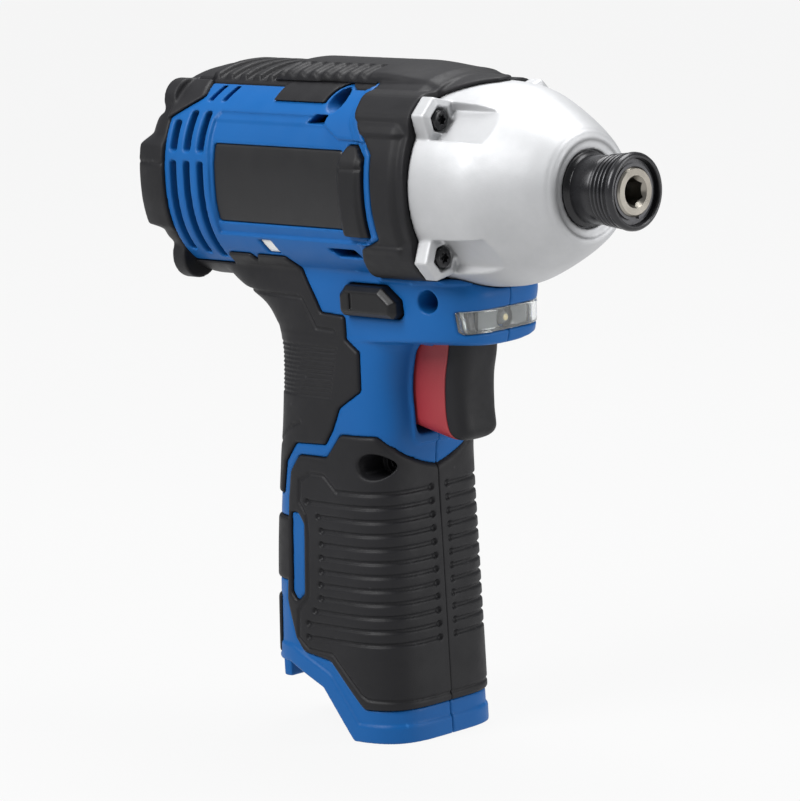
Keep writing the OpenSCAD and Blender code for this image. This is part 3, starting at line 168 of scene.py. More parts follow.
trigger_front, trigger_back = x_grip + 18, x_grip - 4
trigger_z1 = z_head - 1.4
trigger_z0 = trigger_z1 - 27
trigger_mid = (trigger_z0 + trigger_z1) / 2
trigger_half, window_half = 7.65, 8.0
trigger_travel = travel("trigger_pull")
plunger_r, plunger_end = 2.3, x_grip - 19
cover_x = x_grip + 12.6
# Height, front and seam of the trigger.
trigger_rows = np.array([
    [trigger_z0, trigger_front - 0.6, cover_x + 2.2],
    [trigger_z0 + 3, trigger_front - 0.3, cover_x + 0.4],
    [trigger_z0 + 8, trigger_front - 0.6, cover_x - 0.5],
    [trigger_z0 + 16.6, trigger_front - 0.1, cover_x - 0.1],
    [trigger_z1 - 4, trigger_front + 1.4, cover_x + 1.3],
    [trigger_z1, trigger_front + 1.9, cover_x + 2.1]])


# Fields
def both(*fields):
    return reduce(np.maximum, fields)


def either(*fields):
    return reduce(np.minimum, fields)


def smin(a, b, k):
    h = np.maximum(k - np.abs(a - b), 0) / k
    return np.minimum(a, b) - h * h * (k / 4)


def smax(a, b, k):
    return -smin(-a, -b, k)


def ease(v):
    v = np.clip(v, 0, 1)
    return v * v * (3 - 2 * v)


def radius(a, b):
    return np.sqrt(a * a + b * b)


def curve(rows, s, c):
    """Smooth curve through column c of the rows."""
    s = np.asarray(s, np.float32)
    at = rows[:, 0]
    last = len(at) - 1
    grade = np.array([(rows[min(i + 1, last), c] - rows[max(i - 1, 0), c])
                      / (at[min(i + 1, last)] - at[max(i - 1, 0)]) for i in range(len(at))])
    i = np.clip(np.searchsorted(at, s) - 1, 0, last - 1)
    h = at[i + 1] - at[i]
    t = (s - at[i]) / h
    return ((2 * t ** 3 - 3 * t ** 2 + 1) * rows[i, c] + (t ** 3 - 2 * t ** 2 + t) * h * grade[i]
            + (3 * t ** 2 - 2 * t ** 3) * rows[i + 1, c]
            + (t ** 3 - t ** 2) * h * grade[i + 1]).astype(np.float32)


def soften(points, r):
    """The outline with its corners rounded."""
    out = []
    n = len(points)
    for i in range(n):
        p, a, c = (np.array(points[k % n], float) for k in (i, i - 1, i + 1))
        u, v = a - p, c - p
        lu, lv = np.linalg.norm(u), np.linalg.norm(v)
        u, v = u / lu, v / lv
        half = math.acos(max(-1, min(1, u @ v))) / 2
        if half > 1.5:
            out.append(tuple(p))
            continue
        t = min(r / math.tan(half), 0.45 * lu, 0.45 * lv)
        for k in range(5):
            w = k / 4
            out.append(tuple((1 - w) ** 2 * (p + t * u) + 2 * w * (1 - w) * p + w * w * (p + t * v)))
    return out


def stretch_gap(start, end, a, b):
    """Squared distance to a straight stretch."""
    (x0, y0), (x1, y1) = start, end
    ex, ey = x1 - x0, y1 - y0
    t = np.clip(((a - x0) * ex + (b - y0) * ey) / (ex * ex + ey * ey), 0, 1)
    return (a - x0 - t * ex) ** 2 + (b - y0 - t * ey) ** 2


def outline(points, a, b):
    """Signed distance to a closed outline, negative inside."""
    a, b = np.broadcast_arrays(a, b)
    d = np.full(a.shape, 1e9, np.float32)
    inside = np.zeros(a.shape, bool)
    for start, end in zip(points, points[1:] + points[:1]):
        d = np.minimum(d, stretch_gap(start, end, a, b))
        (x0, y0), (x1, y1) = start, end
        if y0 != y1:
            inside ^= ((y0 > b) != (y1 > b)) & (a < x0 + (b - y0) * ((x1 - x0) / (y1 - y0)))
    return np.where(inside, -1, 1).astype(np.float32) * np.sqrt(d)


def stroke(points, a, b):
    """Distance to an open line."""
    return np.sqrt(either(*[stretch_gap(start, end, a, b) for start, end in zip(points, points[1:])]))


def block(x, y, z, lo, hi, r=0.0):
    q = [np.maximum(np.abs(v - (a + b) / 2) - (b - a) / 2 + r, -50) for v, a, b in zip((x, y, z), lo, hi)]
    out = np.sqrt(sum(np.maximum(v, 0) ** 2 for v in q))
    return out + np.minimum(both(*q), 0) - r


def hexagon(u, v, turn):
    """Distance from the centre across the flats of a hexagon."""
    angles = [math.radians(turn + 60 * k) for k in range(6)]
    return both(*[u * math.cos(t) + v * math.sin(t) for t in angles])


def barrel_side(y, z):
    rho = ((np.abs(y) / bar_a) ** bar_n + (np.abs(z) / bar_b) ** bar_n) ** (1 / bar_n)
    return (radius(y, z) * (1 - 1 / np.maximum(rho, 0.05))).astype(np.float32)


def barrel(x, y, z):
    return both(barrel_side(y, z), x_barrel_back - x, x - x_case_back)


def handle(x, y, z):
    # the underside of the head sags towards its middle
    sag = 1.8 * np.clip(1 - (y / 16) ** 2, 0, 1) * ease((x - x_grip - 3) / 7)
    sag = sag * ease((-30 - z) / 8) * ease((z + 52) / 6)
    s = np.clip(z + sag, z_foot, z_neck)
    back, front, half = (curve(handle_rows, s, c) for c in (1, 2, 3))
    e = 0.3
    slope_b, slope_f = ((curve(handle_rows, s + e, c) - curve(handle_rows, s - e, c)) / (2 * e)
                        for c in (1, 2))
    mid, p = (front + back) / 2, (front - back) / 2
    # the back keeps the handle's own rounding where the head reaches forward
    rear = np.minimum(p, 23.5)
    u, v = np.where(x > mid, (x - mid) / p, np.minimum((x - back - rear) / rear, 0)), y / half
    r = np.maximum((u ** 4 + v ** 4) ** 0.25, 0.05)
    gx, gy = np.abs(u / r) ** 3 / np.where(u < 0, rear, p), np.abs(v / r) ** 3 / half
    gz = gx * np.where(u < 0, slope_b, slope_f)
    d = (r - 1) / np.sqrt(gx * gx + gy * gy + gz * gz + 1e-8)
    return both(d, z_foot - z, z - z_neck).astype(np.float32)


def skin(x, y, z):
    return smin(barrel(x, y, z), handle(x, y, z), 0.7)


def case_radius(x):
    return curve(case_rows, np.clip(x_nose - x, 1, case_len), 1)


def case_side(x, y, z):
    """Distance to the gear case's turned form, without its ends."""
    e = 0.4
    slope = (case_radius(x + e) - case_radius(x - e)) / (2 * e)
    return (radius(y, z) - case_radius(x)) / np.sqrt(1 + slope * slope)


class Space:
    """A grid of points, along which the fields are worked out."""

    def __init__(self, lo, hi, step):
        self.step = step
        self.o = np.array(lo, float) - 2 * step
        a = [(self.o[i] + step * np.arange(int(math.ceil((hi[i] - lo[i]) / step)) + 5)).astype(np.float32)
             for i in range(3)]
        self.x, self.y, self.z = a[0][:, None, None], a[1][None, :, None], a[2][None, None, :]

    def near(self, lo, hi):
        cut = []
        for i, n in enumerate((self.x.size, self.y.size, self.z.size)):
            a = max(0, int((lo[i] - self.o[i]) / self.step) - 1)
            b = min(n, int((hi[i] - self.o[i]) / self.step) + 3)
            cut.append(slice(a, max(a, b)))
        return tuple(cut), self.x[cut[0]], self.y[:, cut[1]], self.z[:, :, cut[2]]

    def cut(self, f, lo, hi, shape, k=0.3):
        at, x, y, z = self.near(lo, hi)
        if f[at].size:
            f[at] = smax(f[at], -shape(x, y, z), k)

    def add(self, f, lo, hi, shape, k=0.3):
        at, x, y, z = self.near(lo, hi)
        if f[at].size:
            f[at] = smin(f[at], shape(x, y, z), k)


CORNERS = np.array([(i, j, k) for i in (0, 1) for j in (0, 1) for k in (0, 1)])
EDGES = [(a, b) for a in range(8) for b in range(a + 1, 8) if np.abs(CORNERS[a] - CORNERS[b]).sum() == 1]


def surface(f, s):
    """Quad skin of the field's zero level."""
    f = f.astype(np.float32)
    inside = f < 0
    n = [d - 1 for d in f.shape]
    count = np.zeros(n, np.uint8)
    for i, j, k in CORNERS:
        count += inside[i:n[0] + i, j:n[1] + j, k:n[2] + k]
    live = (count > 0) & (count < 8)
    cells = np.argwhere(live)
    number = np.full(n, -1, np.int32)
    number[live] = np.arange(len(cells))
    value = np.stack([f[tuple((cells + c).T)] for c in CORNERS], 1)
    total = np.zeros((len(cells), 3))
    hits = np.zeros(len(cells))
    for a, b in EDGES:
        fa, fb = value[:, a], value[:, b]
        m = (fa < 0) != (fb < 0)
        t = np.where(m, fa / np.where(m, fa - fb, 1), 0)
        total += np.where(m[:, None], CORNERS[a] + t[:, None] * (CORNERS[b] - CORNERS[a]), 0)
        hits += m
    verts = s.o + s.step * (cells + total / hits[:, None])
    quads = []
    for ax in range(3):
        p, q = (ax + 1) % 3, (ax + 2) % 3
        s0, s1 = [slice(1, -1)] * 3, [slice(1, -1)] * 3
        s0[ax], s1[ax] = slice(0, -1), slice(1, None)
        a = inside[tuple(s0)]
        change = a != inside[tuple(s1)]
        e = np.argwhere(change)
        out = a[change]
        e[:, p] += 1
        e[:, q] += 1
        ring = []
        for dp, dq in ((1, 1), (0, 1), (0, 0), (1, 0)):
            c = e.copy()
            c[:, p] -= dp
            c[:, q] -= dq
            ring.append(number[tuple(c.T)])
        ring = np.stack(ring, 1)
        ring[~out] = ring[~out][:, ::-1]
        quads.append(ring)
    return verts, np.concatenate(quads)


def mirrored(verts, quads):
    return verts * [1, -1, 1], quads[:, ::-1]


def joined(parts):
    verts, quads, n = [], [], 0
    for v, q in parts:
        verts.append(v)
        quads.append(q + n)
        n += len(v)
    return np.concatenate(verts), np.concatenate(quads)


def lathe(profile, n=144):
    """Skin of a closed profile of place and radius, turned about the axis."""
    m = len(profile)
    t = np.arange(n) * 2 * math.pi / n
    verts = np.array([(x, r * math.cos(a), r * math.sin(a)) for a in t for x, r in profile])
    quads = np.array([(i * m + k, i * m + (k + 1) % m, ((i + 1) % n) * m + (k + 1) % m, ((i + 1) % n) * m + k)
                      for i in range(n) for k in range(m)])
    return verts, quads


def make(name, mesh, body, nodes=(), mat=None):
    verts, quads = mesh
    me = bpy.data.meshes.new(name)
    me.vertices.add(len(verts))
    me.vertices.foreach_set("co", (verts * MM).astype(np.float32).ravel())
    me.loops.add(quads.size)
    me.loops.foreach_set("vertex_index", quads.astype(np.int32).ravel())
    me.polygons.add(len(quads))
    me.polygons.foreach_set("loop_start", np.arange(0, quads.size, 4, dtype=np.int32))
    me.update(calc_edges=True)
    me.validate()
    me.polygons.foreach_set("use_smooth", np.ones(len(me.polygons), bool))
    obj = bpy.data.objects.new(name, me)
    bpy.context.scene.collection.objects.link(obj)
    me.materials.append(mat)
    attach(obj, body)
    if nodes:
        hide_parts(*nodes)
    return obj


def make_pair(name, kind, mesh, mat):
    """A piece on the right and its mirror image on the left."""
    make(f"{name}_right_{kind}", mesh, "body", [f"{name}_right"], mat)
    make(f"{name}_left_{kind}", mirrored(*mesh), "body", [f"{name}_left"], mat)


# Materials
def shader(name, values):
    mat = bpy.data.materials.new(name)
    mat.use_nodes = True
    tree = mat.node_tree
    p = tree.nodes["Principled BSDF"]
    for key, v in values.items():
        p.inputs[key].default_value = v
    return mat, tree, p.inputs


def node(tree, kind, **values):
    n = tree.nodes.new(kind)
    for key, v in values.items():
        if key in n.inputs:
            n.inputs[key].default_value = v
        else:
            setattr(n, key, v)
    return n


def noise(tree, scale, detail=3.0, rough=0.55, stretch=None):
    where = node(tree, "ShaderNodeTexCoord").outputs["Object"]
    n = node(tree, "ShaderNodeTexNoise", Scale=scale, Detail=detail, Roughness=rough)
    if stretch:
        m = node(tree, "ShaderNodeMapping", Scale=stretch)
        tree.links.new(where, m.inputs["Vector"])
        where = m.outputs["Vector"]
    tree.links.new(where, n.inputs["Vector"])
    return n.outputs["Fac"]


def ramp(tree, source, stops):
    r = node(tree, "ShaderNodeValToRGB")
    for e, (p, c) in zip(r.color_ramp.elements, stops):
        e.position = p
        e.color = (*c, 1)
    tree.links.new(source, r.inputs["Fac"])
    return r.outputs["Color"]


def grey(v):
    return (v, v, v)


def bump(tree, height, strength, depth):
    b = node(tree, "ShaderNodeBump", Strength=strength, Distance=depth)
    tree.links.new(height, b.inputs["Height"])
    return b.outputs["Normal"]


def surface_material(name, dark, light, rough, metal=0.0, grain=2600.0, depth=0.00003, patch=35.0,
                     specular=0.5, stretch=None, edge_highlight=None):
    """Two-tone base, uneven gloss, a painted highlight on convex edges and a fine moulded or cast grain."""
    mat, tree, p = shader(name, {"Metallic": metal, "Specular IOR Level": specular})
    colour = ramp(tree, noise(tree, patch, 4), [(0.3, dark), (0.7, light)])
    # the colour below is mixed in on convex edges, found by their pointiness: a painted highlight
    if edge_highlight:
        edge = node(tree, "ShaderNodeNewGeometry")
        highlight_mask = ramp(tree, edge.outputs["Pointiness"], [(0.53, grey(0)), (0.62, grey(0.55))])
        mix = node(tree, "ShaderNodeMix", data_type="RGBA")
        mix.inputs[7].default_value = (*edge_highlight, 1)
        tree.links.new(highlight_mask, mix.inputs[0])
        tree.links.new(colour, mix.inputs[6])
        colour = mix.outputs[2]
    tree.links.new(colour, p["Base Color"])
    gloss = ramp(tree, noise(tree, patch * 6, 3), [(0.3, grey(rough[0])), (0.7, grey(rough[1]))])
    tree.links.new(gloss, p["Roughness"])
    tree.links.new(bump(tree, noise(tree, grain, 2, 0.6, stretch), 0.5, depth), p["Normal"])
    return mat


# The last colour given to the blue, rubber, black, red and black oxide materials is a painted highlight on
# their convex edges.
blue = surface_material("blue_moulding", (0.004, 0.080, 0.270), (0.0055, 0.092, 0.300), (0.40, 0.50),
                        specular=0.18, edge_highlight=(0.03, 0.16, 0.44))
rubber = surface_material("soft_rubber", (0.0066, 0.0065, 0.0078), (0.0098, 0.0096, 0.0113), (0.48, 0.60),
                          grain=3400, depth=0.00006, specular=0.26, edge_highlight=(0.032, 0.032, 0.035))
hard_black = surface_material("black_moulding", (0.0045, 0.0045, 0.0052), (0.0075, 0.0075, 0.0086),
                              (0.34, 0.44), specular=0.3, edge_highlight=(0.05, 0.05, 0.055))
panel_black = surface_material("panel_film", (0.006, 0.006, 0.007), (0.0082, 0.0082, 0.0094), (0.40, 0.48),
                               grain=4200, depth=0.00002, specular=0.4)
red = surface_material("red_moulding", (0.250, 0.018, 0.024), (0.300, 0.026, 0.032), (0.38, 0.48),
                       edge_highlight=(0.45, 0.08, 0.08))
cast = surface_material("satin_casting", (0.47, 0.475, 0.485), (0.53, 0.535, 0.545), (0.56, 0.64), metal=0.75,
                        grain=1900, depth=0.00004, patch=60)
steel = surface_material("turned_steel", (0.46, 0.44, 0.41), (0.58, 0.56, 0.52), (0.20, 0.32), metal=1.0,
                         grain=900, depth=0.00002, stretch=(6, 1, 1))
bright = surface_material("bright_steel", (0.66, 0.67, 0.69), (0.76, 0.77, 0.79), (0.16, 0.26), metal=1.0,
                          grain=1200, depth=0.00001)
black_steel = surface_material("black_oxide", (0.008, 0.008, 0.0095), (0.017, 0.017, 0.0195), (0.22, 0.36),
                               metal=0.4, grain=1500, depth=0.00002, specular=0.6, edge_highlight=(0.15, 0.15, 0.16))
bronze = surface_material("sintered_bronze", (0.42, 0.25, 0.10), (0.52, 0.33, 0.15), (0.34, 0.46), metal=1.0,
                          grain=3200, depth=0.00005)
copper = surface_material("copper", (0.68, 0.33, 0.19), (0.78, 0.42, 0.26), (0.22, 0.34), metal=1.0)
iron = surface_material("stacked_iron", (0.10, 0.10, 0.105), (0.17, 0.17, 0.175), (0.42, 0.55), metal=0.8,
                        grain=1400, stretch=(5, 0.5, 0.5))
white = surface_material("white_moulding", (0.72, 0.72, 0.70), (0.80, 0.80, 0.78), (0.40, 0.5))
board = surface_material("lacquered_board", (0.012, 0.09, 0.03), (0.02, 0.13, 0.045), (0.28, 0.4))
worn_steel = surface_material("worn_steel", (0.26, 0.24, 0.21), (0.36, 0.34, 0.30), (0.26, 0.38), metal=1.0,
                              grain=1100, depth=0.00002, stretch=(6, 1, 1))
mirror = surface_material("lamp_tray_chrome", (0.10, 0.105, 0.105), (0.24, 0.25, 0.25), (0.16, 0.22),
                          metal=0.9, depth=0.000005)
smoke = surface_material("lamp_pocket_grey", (0.022, 0.024, 0.024), (0.034, 0.036, 0.036), (0.26, 0.34))


def clear_material():
    mat, tree, p = shader("clear_lens", {"Base Color": (0.93, 0.95, 0.95, 1), "Transmission Weight": 0.96,
                                         "IOR": 1.45})
    gloss = ramp(tree, noise(tree, 300, 3), [(0.35, grey(0.01)), (0.7, grey(0.04))])
    tree.links.new(gloss, p["Roughness"])
    tree.links.new(bump(tree, noise(tree, 260, 2), 0.1, 0.00004), p["Normal"])
    return mat


def lamp_material(centre):
    """A grey clear dome with a warm die in its middle."""
    mat, tree, p = shader("lamp_dome", {"Roughness": 0.18, "Coat Weight": 0.5})
    where = node(tree, "ShaderNodeTexCoord")
    m = node(tree, "ShaderNodeMapping", vector_type="POINT", Scale=(1 / 0.0032, 1 / 0.0014, 1 / 0.0014))
    m.inputs["Location"].default_value = [-c * k for c, k in zip(centre, m.inputs["Scale"].default_value)]
    ball = node(tree, "ShaderNodeTexGradient", gradient_type="SPHERICAL")
    tree.links.new(where.outputs["Object"], m.inputs["Vector"])
    tree.links.new(m.outputs["Vector"], ball.inputs["Vector"])
    tone = ramp(tree, ball.outputs["Fac"], [(0.25, (0.20, 0.21, 0.20)), (0.5, (0.95, 0.78, 0.36))])
    tree.links.new(tone, p["Base Color"])
    return mat


clear = clear_material()
lamp = lamp_material((high("led")[0] * MM, 0, lens_z * MM))

# Housing
grip_soft, palm_soft = soften(grip_outline, 2.2), soften(palm_outline, 1.2)
slot_soft, foot_soft = soften(slot_outline, 1.2), soften(foot_cut, 1.0)
boot_soft = soften(boot_outline, 1.0)
blocks_soft = [soften(b, 1.0) for b in back_blocks]
panel_soft, bumper_soft = soften(panel_outline, 0.8), soften(bumper_outline, 0.6)
selector_soft, tab_soft = soften(selector_outline, 0.7), soften(tab_outline, 0.6)
lens_soft = soften(lens_outline, 0.5)
strip_half, flap = 15, (x_panel - 31, x_panel - 11)


def grip_zone(x, y, z):
    """Plan of the grip pad, whose upper edge dips under the trigger."""
    dip = 5.2 * np.clip(1 - (np.abs(y) / 14) ** 1.3, 0, 1) * ease((x - x_grip + 6) / 3.5)
    zone = outline(grip_soft, x, z + dip * ease((z - z_waist + 20) / 8))
    return both(zone, -outline(slot_soft, x, z)).astype(np.float32)


def strip_zone(x, y, z):
    """Plan of the ribbed strip on the top with its flaps."""
    long = both(np.abs(y) - strip_half, x - x_boot_back, x_barrel_back - x)
    wing = both(flap[0] - x, x - flap[1], 21.6 - z)
    return both(either(long, wing), 4 - z)


def strip_ribs(x):
    """Height of the ribs across the strip, from 0 to 1."""
    wave = np.clip(0.62 - 1.25 * np.cos(2 * math.pi * (x - x_barrel_back - 4.7) / 5.35), 0, 1)
    return wave * ease((x - x_barrel_back - 4.2) / 1.5) * ease((x_panel - 36.5 - x) / 1.0)


def relief(x, z):
    """Steps on the blue flank: two under the top deck, one above the lower ledge, and the foot's band."""
    band = shifted(x_panel, 0, [(-48.6, 18.5), (-9.5, 18.5), (-8, 16.2), (-50, 16.2)])
    flank = shifted(x_panel, 0, [
        (-50, 16.2), (-8, 16.2), (-2, 13.2), (9.6, 13.0), (9.6, -13.6), (-49, -13.6)])
    g = -0.45 * ease(0.5 - outline(band, x, z) / 0.5) - 0.8 * ease(0.5 - outline(flank, x, z) / 0.5)
    rim = outline(boot_soft, x, z)
    g = g + 0.5 * ease((1.7 - rim) / 0.4) + 0.45 * ease((3.2 - rim) / 0.4) * (z > -14)
    edge = np.minimum(outline(foot_soft, x, z), z - z_foot)
    g = g + 0.55 * ease((5.2 - edge) / 0.7)
    return np.where(z > z_foot + 40, np.maximum(g, -1.0), g).astype(np.float32)


def vent_slots(x, y, z):
    slots = []
    for k in range(3):
        a = x_barrel_back + 1.9 + 5.25 * k
        for z0, z1 in ((7.8, 18.2 - 2.4 * (k == 0)), (-19.2 - 0.8 * k, 5.3)):
            slots.append(block(x, z * 0, z, (a, -1, z0), (a + 2.5, 1, z1), 0.8))
    return both(either(*slots), skirt_r - 2 - radius(y, z))


def small_slots(x, z):
    slots = [shifted(x_barrel_back + 5.2 * k, 0, [(10.7, 20.6), (12.4, 20.6), (13.9, 24.2), (12.3, 24.2)])
             for k in (0, 1)]
    slots.append(shifted(x_panel, 0, [(-15.4, 16.5), (-12.8, 18.9), (-8.2, 18.9), (-8.8, 16.5)]))
    slots.append(shifted(x_panel, 0, [(-9.3, -15.8), (0.8, -15.8), (2.4, -18), (-6.5, -18)]))
    return either(*[outline(slot, x, z) for slot in slots])


def trigger_floor(x):
    """Height of the trigger's underside, which climbs towards the handle."""
    return trigger_z0 + 0.22 * np.clip(cover_x + 2 - x, 0, 15)


def trigger_rim(x, y, z):
    raised = skin(x, y, z) - 0.75 * ease((x - x_grip + 9) / 3)
    return both(raised, block(x * 0, y, z, (-1, -10.4, trigger_z0 - 2.6), (1, 10.4, trigger_z1 + 9), 4.0))


def trigger_window(x, y, z):
    """The opening for the trigger, with room under it for its travel."""
    d = both(np.abs(y) - window_half, x - trigger_front - 2, x_grip - 17 - x)
    d = smax(d, trigger_floor(x + trigger_travel) - 0.2 - z, 2.6)
    return smax(d, z - trigger_z1 - 0.3, 0.8)


def plunger_bore(x, y, z):
    return both(radius(y, z - trigger_mid) - plunger_r - 0.4, plunger_end - trigger_travel - 0.6 - x)


def foot_hook(x, y, z):
    return block(x, y, z, (x_grip_back - 8, -10, z_foot + 11.5), (x_grip_back - 5, 10, z_foot + 21), 0.6)


def battery_bay(x, y, z):
    front, below, corner = x_grip - 3, z_foot - 30, 4.5
    return either(
        block(x, y, z, (x_grip_back + 3, -bay_half, below), (front, bay_half, bay_top), corner),
        block(x, y, z, (x_grip_back - 2, -bay_half, below), (front, bay_half, z_foot + 21), corner))


def lens_seat(x, y, z):
    return both(outline(lens_soft, x, z) - 0.12, -(handle(x, y, z) + 6.2))


def screw_well(p, rx, rz):
    def well(x, y, z):
        side = (radius((x - p[0]) / rx, (z - p[1]) / rz) - 1) * min(rx, rz)
        return both(side, y + shell_seat)
    return well


def housing_field(s):
    x, y, z = s.x, s.y, s.z
    sk = skin(x, y, z)
    f = sk - relief(x, z)
    s.add(f, (x_grip - 12, -13, trigger_z0 - 4), (x_grip + 9, 1, trigger_z1 + 2), trigger_rim, 0.8)
    f = smax(f, z_foot - z, 0.5)
    f = smax(f, -outline(foot_soft, x, z), 0.7)
    s.add(f, (x_grip_back - 11, -12, z_foot + 9), (x_grip_back, 1, z_foot + 26), foot_hook, 1.6)
    f = smax(f, 0.05 - outline(boot_soft, x, z), 0.4)
    # beds of the pads and plates
    top_well = radius(x - shell_screws[2][0], z - shell_screws[2][1]) - 3.75
    strip = both(strip_zone(x, y, z), -both(top_well, 8 - np.abs(y)))
    beds = [(grip_zone(x, y, z), pad_depth, 0.5)]
    beds += [(outline(b, x, z), pad_depth, 0.5) for b in blocks_soft]
    beds += [(outline(palm_soft, x, z), pad_depth, 0.5), (strip, pad_depth, 0.5),
             (both(outline(tab_soft, x, z), 14 - np.abs(y)), 1.0, 0.5),
             (outline(panel_soft, x, z), 2.4, 0.35), (outline(bumper_soft, x, z), 2.8, 0.35)]
    for zone, depth, k in beds:
        f = smax(f, -both(zone - bed_gap, -(sk + depth + bed_gap)), k)
    # inside
    f = both(f, -both(radius(y, z) - skirt_r - 0.3, x - x_case_back - 0.5))
    s.cut(f, (x_grip_back - 3, -20, z_foot - 3), (x_grip + 1, 2, bay_top + 2), battery_bay, 0.6)
    f = both(f, -both(case_side(x, y, z) - 0.3, x_case_back - 0.5 - x))
    for _, cy, cz in lugs:
        if cy < 0:
            s.cut(f, (x_case_back - 7, cy - 7, cz - 7), (x_case_back + 20, cy + 7, cz + 7),
                  lambda x, y, z: both(radius(y - cy, z - cz) - 5.9, x_case_back - 6.3 - x))
    # slots and windows
    s.cut(f, (x_barrel_back, -32, -22), (x_barrel_back + 18, 1, 20), vent_slots, 0.5)
    for slots in (small_slots(x, z), outline(light_slot, x, z)):
        f = smax(f, -both(slots, y + 6), 0.35)
    s.cut(f, (x_grip - 20, -10, trigger_z0 - 3), (x_head + 1, 2, trigger_z1 + 3), trigger_window, 0.7)
    s.cut(f, (plunger_end - 8, -4, trigger_mid - 4), (x_grip - 15, 1, trigger_mid + 4), plunger_bore)
    f = smax(f, -both(outline(selector_soft, x, z) - 0.35, y + 9), 0.5)
    s.cut(f, (x_head - 13, -22, lens_z - 5), (x_head + 2, 1, lens_z + 5), lens_seat, 0.35)
    return smax(f, y, 0.25)


half = Space((x_barrel_back - 2, -30.5, z_foot - 0.2), (x_head + 0.5, 0.2, 29), step=0.45)
field = housing_field(half)
left = mirrored(*surface(field, half))
make("housing_left_shell", left, "body", ["housing_left"], blue)
for p, (rx, rz) in zip(shell_screws, ((3.0, 3.0), (5.15, 4.35), (2.8, 2.8))):
    half.cut(field, (p[0] - 7, -32, p[1] - 7), (p[0] + 7, -7, p[1] + 7), screw_well(p, rx, rz), 0.5)
make("housing_right_shell", surface(field, half), "body", ["housing_right"], blue)

# Soft pads
groove_top, groove_pitch, groove_r = z_waist - 6.9, 3.7, 0.6
groove_left = [x_grip - d for d in (17.3, 28.9, 24.9, 23.9, 24.2, 24.6, 24.8, 25.4, 25.5, 28, 30.8, 31)]
groove_front, groove_gap = x_grip - 12, 3
frame_line = shifted(x_grip, z_waist, [
    (-17.3, -7.2), (-20.6, -4.2), (-22.2, -2.9), (-27.5, -2.8), (-31.4, -4.9), (-32, -10.9), (-29.6, -14.1),
    (-29.2, -19.8), (-30.4, -36.5), (-34.4, -40.5), (-35, -48), (-31.1, -51), (-22.2, -51.4), (-12.1, -61.5),
    (-10.3, -62.5), (2, -63.2)])


def pad_field(s, zone, k=1.0):
    sk = skin(s.x, s.y, s.z)
    f = smax(sk - pad_proud, zone, k)
    return smax(f, -(sk + pad_depth), 0.3), sk - pad_proud


def grip_field(s):
    x, y, z = s.x, s.y, s.z
    zone = either(grip_zone(x, y, z), *[outline(b, x, z) for b in blocks_soft])
    f, top = pad_field(s, zone, 1.1)
    f = smax(f, 0.45 - radius(stroke(frame_line, x, z), top), 0.3)
    for i, x0 in enumerate(groove_left):
        zi = groove_top - groove_pitch * i

        def groove(x, y, z):
            """A round groove with a dot at its rear end and another beside the pad's middle."""
            t = top[s.near(*span)[0]]
            dx = np.maximum(x0 - x, 0)
            dy = np.where(x > groove_front, np.maximum(groove_gap - np.abs(y), 0), 0)
            d = np.sqrt(dx * dx + dy * dy + (z - zi) ** 2 + t * t) - groove_r
            dot = np.sqrt((x - x0) ** 2 + (z - zi) ** 2 + t * t) - 0.9
            side = np.where(x > groove_front, (np.abs(y) - groove_gap) ** 2, 99)
            end = np.sqrt(side + (z - zi) ** 2 + t * t) - 0.95
            return either(d, dot if i else d, end)

        span = ((x0 - 3, -24, zi - 2.5), (x_grip + 3, 1, zi + 2.5))
        s.cut(f, *span, groove, 0.28)
    return smax(f, y, 0.4)


space = Space((x_grip_back - 9, -22.2, z_foot + 7.5), (x_grip + 1.2, 0.2, z_waist + 10), step=0.34)
field = grip_field(space)
left = mirrored(*surface(field, space))
make("grip_pad_left_rubber", left, "body", ["grip_pad_left"], rubber)
# the right pad lines its oval screw well, with a ring round the screw on the floor
p = shell_screws[1]
at, x, y, z = space.near((p[0] - 7, -22, p[1] - 6), (p[0] + 7, -7, p[1] + 6))
oval = screw_well(p, 5.1, 4.3)(x, y, z)
liner = both(oval, y + 8.4, skin(x, y, z) + pad_depth - 0.5)
field[at] = smin(field[at], liner.astype(np.float32), 0.5)
floor_ring = both(oval, np.abs(y + 9.3) - 0.8, 2.85 - radius(x - p[0], z - p[1]))
space.cut(field, (p[0] - 8, -24, p[1] - 7), (p[0] + 8, -6, p[1] + 7), screw_well(p, 4.3, 3.4), 0.8)
field[at] = either(field[at], floor_ring.astype(np.float32))
make("grip_pad_right_rubber", surface(field, space), "body", ["grip_pad_right"], rubber)

palm_line = [(x_grip_back - 6, -30), (x_grip - 27.7, -30.6), (x_grip - 22.8, -38.6), (x_grip - 16.2, -38.9)]
palm_crease = shifted(x_grip_back, 0, [(2, -72.5), (11.6, -65.4), (15.1, -64.2)])
rib_top, rib_pitch, rib_count, rib_r = -43.6, 1.18, 12, 0.36


def palm_field(s):
    x, y, z = s.x, s.y, s.z
    f, top = pad_field(s, outline(palm_soft, x, z), 1.0)
    for path, w in ((palm_line, 0.5), (palm_crease, 0.42)):
        f = smax(f, w - radius(stroke(path, x, z), top), 0.35)
    for i in range(rib_count):
        zi = rib_top - rib_pitch * i
        span = ((x_grip_back - 3, -24, zi - 1), (x_grip - 13, 1, zi + 1))

        def rib(x, y, z):
            past = np.maximum(x - (x_grip - 15.5 - 0.25 * i), 0)
            return np.sqrt((z - zi) ** 2 + top[s.near(*span)[0]] ** 2 + past ** 2) - rib_r

        s.cut(f, *span, rib, 0.3)
    return smax(f, y, 0.4)


space = Space((x_grip_back - 26, -24, z_waist - 10), (x_grip - 6.5, 0.2, -18.5), step=0.34)
make_pair("palm_pad", "rubber", surface(palm_field(space), space), rubber)


